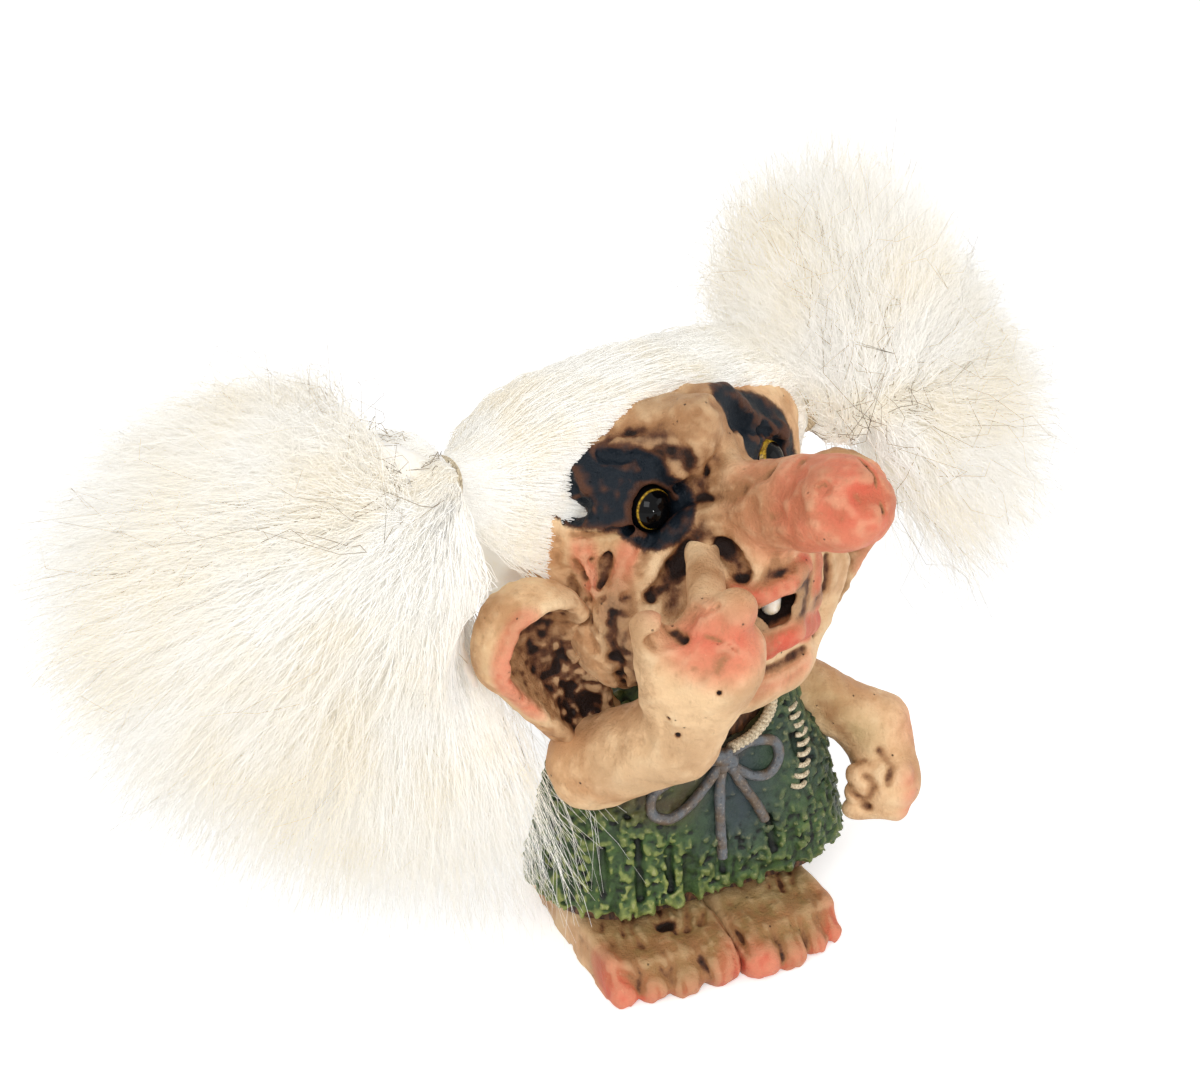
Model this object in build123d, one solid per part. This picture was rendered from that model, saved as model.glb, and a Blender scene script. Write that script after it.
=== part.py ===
from build123d import *
import math
import os

# A cast and hand-painted troll ornament with fleece hair and glass eyes.
# Millimetres, +Z up. The figure looks along -Y, and its right side is at -X.
# The origin is on the ground, under the middle of the neck, on the sole of the left foot.
# A place is written as (out to +X, back to +Y, up), and in the head's own frame before its turn.

os.makedirs("parts", exist_ok=True)

# Shared values
glue_line = 0.2        # film of glue between two seated pieces
overrun = 80           # how far a cutting block runs past what it cuts

# Feet: one broad pair, four toes each
right_foot_width = 32  # from the seam out
left_foot_width = 28
foot_seam_out = -4     # the seam between the feet, to the left of the origin
foot_front = 39        # longest toe's tip ahead of the origin
foot_length = 60
foot_height = 10
foot_sole = 3.5        # thickness of the sole under the toes
foot_edge_radius = 2.5
foot_slab_set_share = 0.5        # front of the thick slab behind the toe tips, of a toe's length
heel_width_share = 0.97
toe_length = 12
toe_width_shares = (0.32, 0.26, 0.23, 0.19)      # from the big toe out
right_toe_back_shares = (0.16, 0.23, 0.34, 0.5)  # each toe's set-back, of its length
left_toe_back_shares = (0, 0.06, 0.2, 0.45)
toe_sole_share = 0.75  # height of a toe's tip above the ground, of its radius
toe_lap_share = 1.12   # each toe is this much wider than its place
toe_overhang = 2       # toe tips ahead of the sole

# Tunic, a bell with a wall, over the trunk
tunic_back_set = 3
tunic_wall = 3
hem_height = 12.5
hem_width = 82
hem_depth = 42
waist_height = 38
waist_width = 71
waist_depth = 37
shoulder_height = 58
shoulder_width = 52
shoulder_depth = 31
collar_height = 66
collar_width = 34
collar_depth = 26
hem_notch_count = 18
hem_notch_radius = 1.4
hem_notch_height = 5
neckline_radius = 14
neckline_front = 17
neckline_height = 63
neck_radius = 12
neck_back_set = 8

# Head: skull, brow, muzzle, cheeks and jaw in one casting
head_turn = 14         # degrees towards the figure's left
head_height = 104      # centre of the skull above the ground
skull_width = 80
skull_radius = 26.5
skull_back_set = 19
brow_radius = 11
brow_end_radius = 10
brow_width = 56
brow_back_set = 3      # brow line's centre behind the neck axis, at its middle
brow_rise = 17.5
brow_end_drop = 4.5
muzzle_radius = 24
muzzle_tip_radius = 18
muzzle_reach = 14
muzzle_root_reach = -6
muzzle_drop = 7
cheek_radius = 18
cheek_spread = 44
cheek_reach = 2
cheek_drop = 16
jaw_radius = 12
jaw_width = 44
jaw_reach = 13
jaw_drop = 30

# Mouth, lips and teeth
mouth_width = 34
mouth_radius = 6.5
mouth_reach = 29
mouth_drop = 7.5
lip_reach = 32.5
lip_fall = 8           # how far the corners of the lips fall back
lip_shares = ((-1, 1, 0.25), (-0.5, 0.25, 0.75), (0.5, 0.25, 1), (1, 1, 0.5))   # out, back, up
lip_corner_share = 0.75        # thickness at a corner, of the thickness in the middle
upper_lip_radius = 2.6
upper_lip_rise = 7
lower_lip_radius = 4
lower_lip_drop = 8
tooth_radius = 2.2
tooth_length = 7
tooth_spread = 9
tooth_shift = 1.5

# Nose
nose_length = 42
nose_root_radius = 8.5
nose_bridge_radius = 9.6
nose_ball_radius = 10.8
nose_root_reach = 2
nose_root_rise = 6
nose_lift = 17.5
nose_bridge_share = 0.5
nose_wing_radius = 6.5
nose_wing_spread = 17
nose_wing_reach = 11
nose_wing_drop = 2

# Ears, each a thick cup that is wide at the top
ear_top_radius = 14
ear_lobe_radius = 8
ear_thickness = 15
ear_rim = 3.5
ear_top_spread = 90
ear_top_drop = 11
ear_lobe_spread = 64
ear_lobe_drop = 38
ear_back_set = 2

# Glass eyes
eye_diameter = 10
eye_spread = 34
eye_rise = 11
eye_reach = 2
eye_disc_thickness = 1
eye_disc_rim = 0.4             # the painted disc is this much smaller than the glass
eye_socket_length = 9
eye_turn = 12                  # degrees, each eye looks outwards
eye_lift = 20                  # degrees, both look up

# Left arm, akimbo, and its loose fist on the hip
arm_shoulder_out = 24
arm_shoulder_drop = 2
arm_taper_share = 0.85         # thickness at the shoulder, of the thickness at the elbow
finger_taper_share = 0.85      # thickness at a finger's tip, of the thickness at its root
left_arm_radius = 8
left_elbow_out = 46
left_elbow_front = 8
left_elbow_height = 40
left_hand_out = 45
left_hand_front = 16
left_hand_height = 29
left_hand_radius = 8
left_finger_radius = 3.2
left_finger_length = 9
left_finger_count = 3
left_finger_pitch_share = 0.75  # from one finger to the next, of a finger's thickness

# Right arm, folded up, and its hand with the finger in the nostril
right_elbow_out = 32
right_elbow_front = 12
right_elbow_height = 56
right_arm_radius = 10.5
right_wrist_out = 21
right_wrist_front = 30
right_wrist_height = 71
right_wrist_radius = 10
palm_radius = 11.5
palm_out = 15.5
palm_front = 36
palm_height = 93
index_radius = 4.4
index_base_beside = 1.5        # outwards from the palm's centre
index_base_above = 10
index_tip_beside_wing = 3.4    # the tip's place from the centre of the nostril's wing
index_tip_ahead_of_wing = 3.6
index_tip_below_wing = 1
thumb_radius = 4.6
thumb_tip_beside = 14.5        # the thumb and the knuckle, from the palm's centre
thumb_tip_behind = 3
thumb_tip_above = 10
thumb_root_radius = 6.5
thumb_root_beside = 9.5
thumb_root_behind = 2
thumb_root_below = 7
knuckle_radius = 5
knuckle_inward = 3
knuckle_ahead = 3
knuckle_above = 13

# Moulded cord round the neckline, and its bow
cord_radius = 1.3
knot_radius = 3
knot_height = 49
bow_loop_right_length = 21
bow_loop_right_drop = 10
bow_loop_left_length = 15
bow_loop_left_drop = 4
bow_loop_width = 9
bow_tail_middle_drop = 27
bow_tail_side_drop = 20
bow_tail_side_out = 10
neck_cord_length = 22
neck_cord_turn = 42            # degrees above level
neck_cord_sag_share = 0.12     # how far its middle hangs below a straight line, of its length
cord_start_share = 0.98        # each run starts a little thinner than the one before it ends
bow_loop_shares = ((0, 0), (0.55, 1), (0.9, 0.7), (1, 0))     # along the loop and across it
stitch_count = 9
stitch_radius = 0.7
stitch_length = 4
stitch_out = 20
stitch_bow = 2.5
stitch_low = 36
stitch_rise = 19

# Fleece hair: a glued cap and two tied bunches
fleece_thickness = 7
hairline_set = 9               # front edge of the cap behind the neck axis
gather_radius = 14
gather_spread = 50
gather_rise = 5
tie_radius = 6
tie_thread_radius = 1.3
bunch_neck_length = 12
lobe_start_radius = 7.5
lobe_start_reach = 3           # the lobes fan out from a little past the bound neck
right_tie_out = 60
right_tie_back = 17
right_tie_height = 127
left_tie_out = 46
left_tie_back = 16
left_tie_height = 113
right_bunch_reach = 122
right_lobe_radius = 21
right_lobe_turns = (128, 157, 184, 208, 230, 251, 268, 282)         # degrees from +X to +Z
right_lobe_shares = (0.3, 0.52, 0.68, 0.71, 0.74, 0.81, 0.91, 1.0)
right_lobe_width_shares = (0.7, 0.9, 1, 1, 1, 1, 1, 0.9)
left_bunch_reach = 90
left_lobe_radius = 18
left_lobe_turns = (142, 113, 85, 50, 15, -12, -34, -50)
left_lobe_shares = (0.52, 0.76, 0.74, 0.54, 0.56, 0.76, 0.88, 0.88)
left_lobe_width_shares = (0.8, 1, 1, 0.8, 0.9, 1, 1, 1)
ground_gap = 1                 # the lowest hair clears the ground by this


# Helpers
def ball(centre, radius, grow=0):
    """A ball, grown by a clearance."""
    return Pos(*centre) * Sphere(radius + grow)


def rounded(start, end, first, last, grow=0):
    """A rounded cone: a ball at each end and the straight side that touches both."""
    near = first + grow
    far = last + grow
    axis = Vector(*end) - Vector(*start)
    length = axis.length
    lean = math.asin((near - far) / length)
    turn = math.degrees(lean)
    low_arc = CenterArc((0, 0), near, -90, 90 + turn)
    high_arc = CenterArc((0, length), far, turn, 90 - turn)
    side = Line(low_arc @ 1, high_arc @ 0)
    closing = Line(high_arc @ 1, low_arc @ 0)
    outline = Wire([*low_arc.edges(), *side.edges(), *high_arc.edges(), *closing.edges()])
    solid = revolve(make_face(Plane.XZ * outline), Axis.Z)
    return Plane(origin=start, z_dir=axis) * solid


def join(shapes):
    """One solid out of shapes that reach into each other."""
    whole = shapes[0]
    for shape in shapes[1:]:
        whole = whole + shape
    return whole


def largest(shape):
    """The biggest solid of a cut shape."""
    return max(shape.solids(), key=lambda solid: solid.volume)


def shave(shape, cutters):
    """A shape with its neighbours' grown forms cut away, one by one, without loose crumbs."""
    for cutter in cutters:
        shape = shape - cutter
    return largest(shape)


def turned(shapes):
    """Head pieces, turned with the head about the neck axis."""
    return [Rot(0, 0, head_turn) * shape for shape in shapes]


def turned_point(out, back, up):
    """A point of the head's own frame, in the figure's frame."""
    turn = math.radians(head_turn)
    return (
        out * math.cos(turn) - back * math.sin(turn),
        out * math.sin(turn) + back * math.cos(turn),
        up,
    )


def block_above(height):
    """Everything higher than a level."""
    cube = 4 * overrun
    return Pos(0, 0, height + cube / 2) * Box(cube, cube, cube)


# Feet
def toes(side):
    """Each toe of a foot, from the big one out: its middle across, its tip and its radius."""
    width = left_foot_width if side > 0 else right_foot_width
    back_shares = left_toe_back_shares if side > 0 else right_toe_back_shares
    found = []
    place = 0
    for share, back in zip(toe_width_shares, back_shares):
        out = foot_seam_out + side * (place + share / 2) * width
        found.append((out, back * toe_length - foot_front, share * width / 2 * toe_lap_share))
        place += share
    return found


def foot(side):
    """One foot: a slab to the heel and four toes. side is -1 for the right foot, 1 for the left."""
    width = left_foot_width if side > 0 else right_foot_width
    inner = foot_seam_out + side * glue_line / 2
    outer = foot_seam_out + side * width
    heel = foot_seam_out + side * width * heel_width_share
    slab_set = toe_length * foot_slab_set_share
    heel_line = foot_length - foot_front
    inner_tip = toes(side)[0][1]
    outer_tip = toes(side)[-1][1]
    outline = Polyline(
        (inner, inner_tip + slab_set),
        (outer, outer_tip + slab_set),
        (heel, heel_line),
        (inner, heel_line),
        close=True,
    )
    slab = extrude(make_face(outline), foot_height)
    top_edges = slab.edges().group_by(Axis.Z)[-1].sort_by(Axis.X)
    slab = fillet(top_edges[-1 if side > 0 else 0], foot_edge_radius)
    sole_points = [(inner, inner_tip + toe_overhang)]
    for out, tip, radius in toes(side):
        sole_points.append((out, tip + toe_overhang))
    sole_points.append((outer, outer_tip + toe_overhang + foot_edge_radius))
    sole_points.append((outer, outer_tip + slab_set + foot_edge_radius))
    sole_points.append((inner, inner_tip + slab_set + foot_edge_radius))
    sole = extrude(make_face(Polyline(*sole_points, close=True)), foot_sole)
    shapes = [slab, sole]
    for out, tip, radius in toes(side):
        near = (out, tip + radius, radius * toe_sole_share)
        far = (out, tip + radius + toe_length, foot_height / 2)
        shapes.append(rounded(near, far, radius, radius * toe_sole_share))
    cube = 4 * overrun
    room = Pos(inner + side * cube / 2, 0, cube / 2) * Box(cube, cube, cube)
    return largest(join(shapes) & room)


# Trunk and tunic
def bell_sections():
    """Height, half width and half depth of the tunic's outside, from the hem up."""
    return [
        (hem_height, hem_width / 2, hem_depth / 2),
        (waist_height, waist_width / 2, waist_depth / 2),
        (shoulder_height, shoulder_width / 2, shoulder_depth / 2),
        (collar_height, collar_width / 2, collar_depth / 2),
    ]


def bell(grow=0, floor=hem_height):
    """The tunic's outside, or a smaller or larger copy that starts at another height."""
    faces = []
    for index, (height, half_width, half_depth) in enumerate(bell_sections()):
        level = height if index else floor
        outline = SlotOverall(2 * (half_width + grow), 2 * (half_depth + grow))
        faces.append(Pos(0, tunic_back_set, level) * outline.face())
    return loft(faces, ruled=True)


def bell_front(out, up):
    """The point of the bell's front at a place across and a height."""
    sections = bell_sections()
    for low, high in zip(sections, sections[1:]):
        if up <= high[0]:
            break
    share = (up - low[0]) / (high[0] - low[0])
    half_width = low[1] + share * (high[1] - low[1])
    half_depth = low[2] + share * (high[2] - low[2])
    beyond = max(abs(out) - (half_width - half_depth), 0)
    back = math.sqrt(max(half_depth ** 2 - beyond ** 2, 0))
    return (out, tunic_back_set - back, up)


def rim_point(share):
    """A point round the hem, at a share of the way round."""
    radius = hem_depth / 2
    straight = hem_width - hem_depth
    total = 2 * straight + 2 * math.pi * radius
    way = share * total
    for side in (1, -1):
        if way < straight:
            return (side * (straight / 2 - way), tunic_back_set + side * radius, hem_height)
        way -= straight
        if way < math.pi * radius:
            turn = math.pi / 2 + way / radius
            out = -straight / 2 + radius * math.cos(turn)
            back = radius * math.sin(turn)
            return (side * out, tunic_back_set + side * back, hem_height)
        way -= math.pi * radius
    return (straight / 2, tunic_back_set + radius, hem_height)


def body_core(rooms):
    """The trunk inside the tunic, up to the neck."""
    trunk = bell(-(tunic_wall + glue_line), foot_height + glue_line)
    neck = Pos(0, neck_back_set, shoulder_height) * Cylinder(
        neck_radius, head_height - shoulder_height, align=(Align.CENTER, Align.CENTER, Align.MIN)
    )
    return shave(trunk + neck, rooms)


def tunic(rooms):
    """The tunic's shell over the trunk, with a notched hem and an open neckline."""
    inside = bell(-tunic_wall, foot_height)
    neck = Pos(0, neck_back_set, shoulder_height) * Cylinder(neck_radius + glue_line, overrun)
    opening = ball((0, -neckline_front, neckline_height), neckline_radius)
    notches = []
    for index in range(hem_notch_count):
        place = rim_point(index / hem_notch_count)
        notches.append(Pos(*place) * Cylinder(hem_notch_radius, 2 * hem_notch_height))
    return shave(bell(), [inside, neck, opening, *notches, *rooms])


# Head
def head_forms(grow=0):
    """The shapes that make the head, without its mouth and eye sockets."""
    skull_end = skull_width / 2 - skull_radius
    skull = rounded(
        (-skull_end, skull_back_set, head_height),
        (skull_end, skull_back_set, head_height),
        skull_radius, skull_radius, grow,
    )
    brow_height = head_height + brow_rise
    middle = (0, brow_back_set, brow_height)
    brows = []
    for side in (-1, 1):
        end = (side * brow_width / 2, brow_back_set + brow_end_radius, brow_height - brow_end_drop)
        brows.append(rounded(middle, end, brow_radius, brow_end_radius, grow))
    muzzle_height = head_height - muzzle_drop
    muzzle = rounded(
        (0, -muzzle_root_reach, muzzle_height),
        (0, -muzzle_reach, muzzle_height),
        muzzle_radius, muzzle_tip_radius, grow,
    )
    cheeks = []
    for side in (-1, 1):
        centre = (side * cheek_spread / 2, -cheek_reach, head_height - cheek_drop)
        cheeks.append(ball(centre, cheek_radius, grow))
    jaw_end = jaw_width / 2 - jaw_radius
    jaw_height = head_height - jaw_drop
    jaw = rounded(
        (-jaw_end, -jaw_reach, jaw_height),
        (jaw_end, -jaw_reach, jaw_height),
        jaw_radius, jaw_radius, grow,
    )
    return turned([skull, muzzle, *cheeks, jaw, *brows])


def mouth_form(grow=0):
    """The hollow of the open mouth."""
    end = mouth_width / 2 - mouth_radius
    height = head_height - mouth_drop
    hollow = rounded(
        (-end, -mouth_reach, height),
        (end, -mouth_reach, height),
        mouth_radius, mouth_radius, grow,
    )
    return turned([hollow])


def eye_plane(side):
    """The plane of an eye's painted disc, facing the way that the eye looks."""
    centre = turned_point(side * eye_spread / 2, -eye_reach, head_height + eye_rise)
    turn = math.radians(head_turn + side * eye_turn)
    lift = math.radians(eye_lift)
    gaze = (
        math.sin(turn) * math.cos(lift),
        -math.cos(turn) * math.cos(lift),
        math.sin(lift),
    )
    return Plane(origin=centre, z_dir=gaze)


def eye_disc(side):
    """The painted iris disc at the back of a glass eye."""
    radius = eye_diameter / 2 - eye_disc_rim
    disc = Cylinder(radius, eye_disc_thickness, align=(Align.CENTER, Align.CENTER, Align.MAX))
    return eye_plane(side) * Pos(0, 0, -glue_line) * disc


def eye_lens(side):
    """The clear glass dome in front of the disc."""
    dome = Sphere(eye_diameter / 2, arc_size1=0, arc_size2=90, align=None)
    return eye_plane(side) * dome


def eye_socket(side):
    """The round hole that the disc and the glass sit in."""
    depth = eye_disc_thickness + 2 * glue_line
    bore = Cylinder(
        eye_diameter / 2 + glue_line,
        eye_socket_length + depth,
        align=(Align.CENTER, Align.CENTER, Align.MIN),
    )
    return eye_plane(side) * Pos(0, 0, -depth) * bore


def lip_forms(rise, radius, grow=0):
    """A lip: an arc of rounded pieces along one edge of the mouth."""
    half = mouth_width / 2
    level = head_height - mouth_drop
    points = []
    for out_share, fall_share, rise_share in lip_shares:
        points.append((out_share * half, fall_share * lip_fall - lip_reach, level + rise_share * rise))
    thin = radius * lip_corner_share
    corner = rounded(points[0], points[1], thin, radius, grow)
    middle = rounded(points[1], points[2], radius, radius, grow)
    other = rounded(points[2], points[3], radius, thin, grow)
    return turned([middle, corner, other])


def tooth(side, rooms):
    """One blunt tooth under the upper lip."""
    out = tooth_shift + side * tooth_spread / 2
    top = head_height - mouth_drop + mouth_radius / 2
    back = tooth_radius - mouth_reach
    blank = rounded((out, back, top), (out, back, top - tooth_length / 2), tooth_radius, tooth_radius)
    return shave(join(turned([blank])) & mouth_form(-glue_line)[0], rooms)


def nose_forms(grow=0):
    """The long nose with its ball and two wings."""
    root_height = head_height + nose_root_rise
    root = (0, -nose_root_reach, root_height)
    tip = (0, -nose_root_reach - nose_length, root_height + nose_lift)
    bridge = tuple(near + (far - near) * nose_bridge_share for near, far in zip(root, tip))
    shapes = [
        rounded(bridge, tip, nose_bridge_radius, nose_ball_radius, grow),
        rounded(root, bridge, nose_root_radius, nose_bridge_radius, grow),
    ]
    for side in (-1, 1):
        centre = (side * nose_wing_spread / 2, -nose_wing_reach, root_height - nose_wing_drop)
        shapes.append(ball(centre, nose_wing_radius, grow))
    return turned(shapes)


def ear_ends(side, ahead=0):
    """The centres of an ear's broad top and of its lobe."""
    back = ear_back_set - ahead
    top = (side * ear_top_spread / 2, back, head_height - ear_top_drop)
    lobe = (side * ear_lobe_spread / 2, back, head_height - ear_lobe_drop)
    return top, lobe


def ear_form(side, grow=0):
    """The outside of an ear, flat in front and behind."""
    top, lobe = ear_ends(side)
    thickness = ear_thickness + 2 * grow
    slab = Pos(0, ear_back_set, head_height) * Box(4 * overrun, thickness, 4 * overrun)
    shape = rounded(top, lobe, ear_top_radius, ear_lobe_radius, grow) & slab
    return turned([shape])[0]


def ear_hollow(side):
    """The scoop in the front of an ear."""
    top, lobe = ear_ends(side, ear_thickness / 2)
    return turned([rounded(top, lobe, ear_top_radius - ear_rim, ear_lobe_radius - ear_rim)])[0]


# Arms and hands
def left_arm_form(grow=0):
    """The upper arm, from the shoulder to the elbow."""
    shoulder = (arm_shoulder_out, tunic_back_set, shoulder_height - arm_shoulder_drop)
    elbow = (left_elbow_out, -left_elbow_front, left_elbow_height)
    return rounded(shoulder, elbow, left_arm_radius * arm_taper_share, left_arm_radius, grow)


def left_hand_forms():
    """The fist on the hip, with curled fingers."""
    shapes = [ball((left_hand_out, -left_hand_front, left_hand_height), left_hand_radius)]
    for index in range(left_finger_count):
        pitch = 2 * left_finger_radius * left_finger_pitch_share
        level = left_hand_height + (index - (left_finger_count - 1) / 2) * pitch
        knuckle = (left_hand_out, -left_hand_front - left_hand_radius / 2, level)
        tip = (left_hand_out - left_finger_length, -left_hand_front, level)
        shapes.append(rounded(knuckle, tip, left_finger_radius, left_finger_radius * finger_taper_share))
    return shapes


def right_arm_forms(grow=0):
    """The folded arm, from the shoulder over the elbow to the wrist."""
    shoulder = (-arm_shoulder_out, tunic_back_set, shoulder_height - arm_shoulder_drop)
    elbow = (-right_elbow_out, -right_elbow_front, right_elbow_height)
    wrist = (-right_wrist_out, -right_wrist_front, right_wrist_height)
    slim = right_arm_radius * arm_taper_share
    return [
        rounded(elbow, wrist, right_arm_radius, right_wrist_radius, grow),
        rounded(shoulder, elbow, slim, slim, grow),
    ]


def palm_point(beside, back, above):
    """A place beside, behind and above the centre of the right palm."""
    return (-palm_out - beside, -palm_front + back, palm_height + above)


def index_form(grow=0):
    """The finger that goes into the nostril."""
    tip = turned_point(
        -nose_wing_spread / 2 - index_tip_beside_wing,
        -nose_wing_reach - index_tip_ahead_of_wing,
        head_height + nose_root_rise - nose_wing_drop - index_tip_below_wing,
    )
    base = palm_point(index_base_beside, 0, index_base_above)
    return rounded(base, tip, index_radius, index_radius * finger_taper_share, grow)


def right_hand_forms(grow=0):
    """The hand: its back from the wrist up, the thumb and the folded knuckles."""
    wrist = (-right_wrist_out, -right_wrist_front, right_wrist_height)
    palm = palm_point(0, 0, 0)
    thumb_root = palm_point(thumb_root_beside, thumb_root_behind, -thumb_root_below)
    thumb_tip = palm_point(thumb_tip_beside, thumb_tip_behind, thumb_tip_above)
    return [
        rounded(wrist, palm, right_wrist_radius * arm_taper_share, palm_radius, grow),
        rounded(thumb_root, thumb_tip, thumb_root_radius, thumb_radius, grow),
        ball(palm_point(-knuckle_inward, -knuckle_ahead, knuckle_above), knuckle_radius, grow),
    ]


# Cord and bow on the tunic
def cord_along(places, grow=0):
    """A cord of rounded runs through places across and up, laid on the bell's front."""
    points = [bell_front(out, up) for out, up in places]
    runs = []
    for start, end in zip(points, points[1:]):
        runs.append(rounded(start, end, cord_radius * cord_start_share, cord_radius, grow))
    return join(runs)


def neck_cord(side, grow=0):
    """Half of the cord that edges the neckline, from the knot up to the shoulder."""
    turn = math.radians(neck_cord_turn)
    end = (side * neck_cord_length * math.cos(turn), knot_height + neck_cord_length * math.sin(turn))
    sag = neck_cord_length * neck_cord_sag_share
    middle = (end[0] / 2 + side * sag * math.sin(turn), (knot_height + end[1]) / 2 - sag * math.cos(turn))
    return cord_along([(0, knot_height), middle, end], grow)


def bow_loop(side, length, drop, grow=0):
    """One loop of the bow, lying on the tunic."""
    lean = math.atan2(-drop, length)
    half = bow_loop_width / 2
    upper = []
    for along_share, across_share in bow_loop_shares:
        upper.append((along_share * length, across_share * half))
    lower = [(along, -across) for along, across in reversed(upper[:-1])]
    laid = []
    for along, across in upper + lower:
        out = along * math.cos(lean) - across * math.sin(lean)
        up = along * math.sin(lean) + across * math.cos(lean)
        laid.append((side * out, knot_height + up))
    return cord_along(laid, grow)


def bow_tail(start_out, end_out, drop, grow=0):
    """One hanging end of the bow."""
    return cord_along([(start_out, knot_height), (end_out, knot_height - drop)], grow)


def stitches():
    """The row of stitches beside the left armhole."""
    made = []
    for index in range(stitch_count):
        share = index / (stitch_count - 1)
        up = stitch_low + share * stitch_rise
        out = stitch_out + stitch_bow * math.sin(math.pi * share)
        ends = [bell_front(out + step * stitch_length / 2, up) for step in (-1, 1)]
        made.append(rounded(ends[0], ends[1], stitch_radius, stitch_radius))
    return made


# Hair
def gather_points(side):
    """Where a gather of hair leaves the skull, and where it is tied."""
    out, back, height = (
        (right_tie_out, right_tie_back, right_tie_height) if side < 0
        else (left_tie_out, left_tie_back, left_tie_height)
    )
    root = turned_point(side * gather_spread / 2, skull_back_set, head_height + gather_rise)
    return root, turned_point(side * out, back, height)


def tie_plane(side):
    """The plane across a tied neck of hair, facing away from the head."""
    root, tie = gather_points(side)
    return Plane(origin=tie, z_dir=Vector(*tie) - Vector(*root))


def beyond_tie(side, offset):
    """The room past a tie, away from the head."""
    half_space = Cylinder(2 * overrun, 2 * overrun, align=(Align.CENTER, Align.CENTER, Align.MIN))
    return tie_plane(side) * Pos(0, 0, offset) * half_space


def scalp_forms(grow=0):
    """The fleece cap at the back of the head, and the two gathers that run to the ties."""
    end = skull_width / 2 - skull_radius
    cap = rounded(
        (-end, skull_back_set, head_height),
        (end, skull_back_set, head_height),
        skull_radius + fleece_thickness,
        skull_radius + fleece_thickness,
        grow,
    )
    cube = 4 * overrun
    behind = Pos(0, hairline_set - grow + cube / 2, head_height) * Box(cube, cube, cube)
    shapes = turned([cap & behind])
    for side in (-1, 1):
        root, tie = gather_points(side)
        gather = rounded(root, tie, gather_radius, tie_radius, grow)
        shapes.append(gather - beyond_tie(side, grow - tie_thread_radius))
    return shapes


def hair_tie(side, grow=0):
    """The band that binds a bunch."""
    ring = Torus(tie_radius + glue_line + tie_thread_radius, tie_thread_radius + grow)
    return tie_plane(side) * ring


def hair_bunch(side, reach, radius, turns, reach_shares, width_shares, rooms):
    """A fan of fleece lobes from the tie, with the bound neck that starts it."""
    neck = Cylinder(tie_radius, bunch_neck_length, align=(Align.CENTER, Align.CENTER, Align.MIN))
    shape = tie_plane(side) * Pos(0, 0, glue_line - tie_thread_radius) * neck
    middle = (tie_plane(side) * Pos(0, 0, bunch_neck_length)).position
    for turn, reach_share, width_share in zip(turns, reach_shares, width_shares):
        angle = math.radians(turn)
        direction = Vector(math.cos(angle), 0, math.sin(angle))
        width = radius * width_share
        start = middle + direction * lobe_start_reach
        end = middle + direction * (reach * reach_share - width)
        shape = shape + rounded(tuple(start), tuple(end), lobe_start_radius, width)
    return shave(shape & block_above(ground_gap), [hair_tie(side, glue_line), *rooms])


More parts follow.
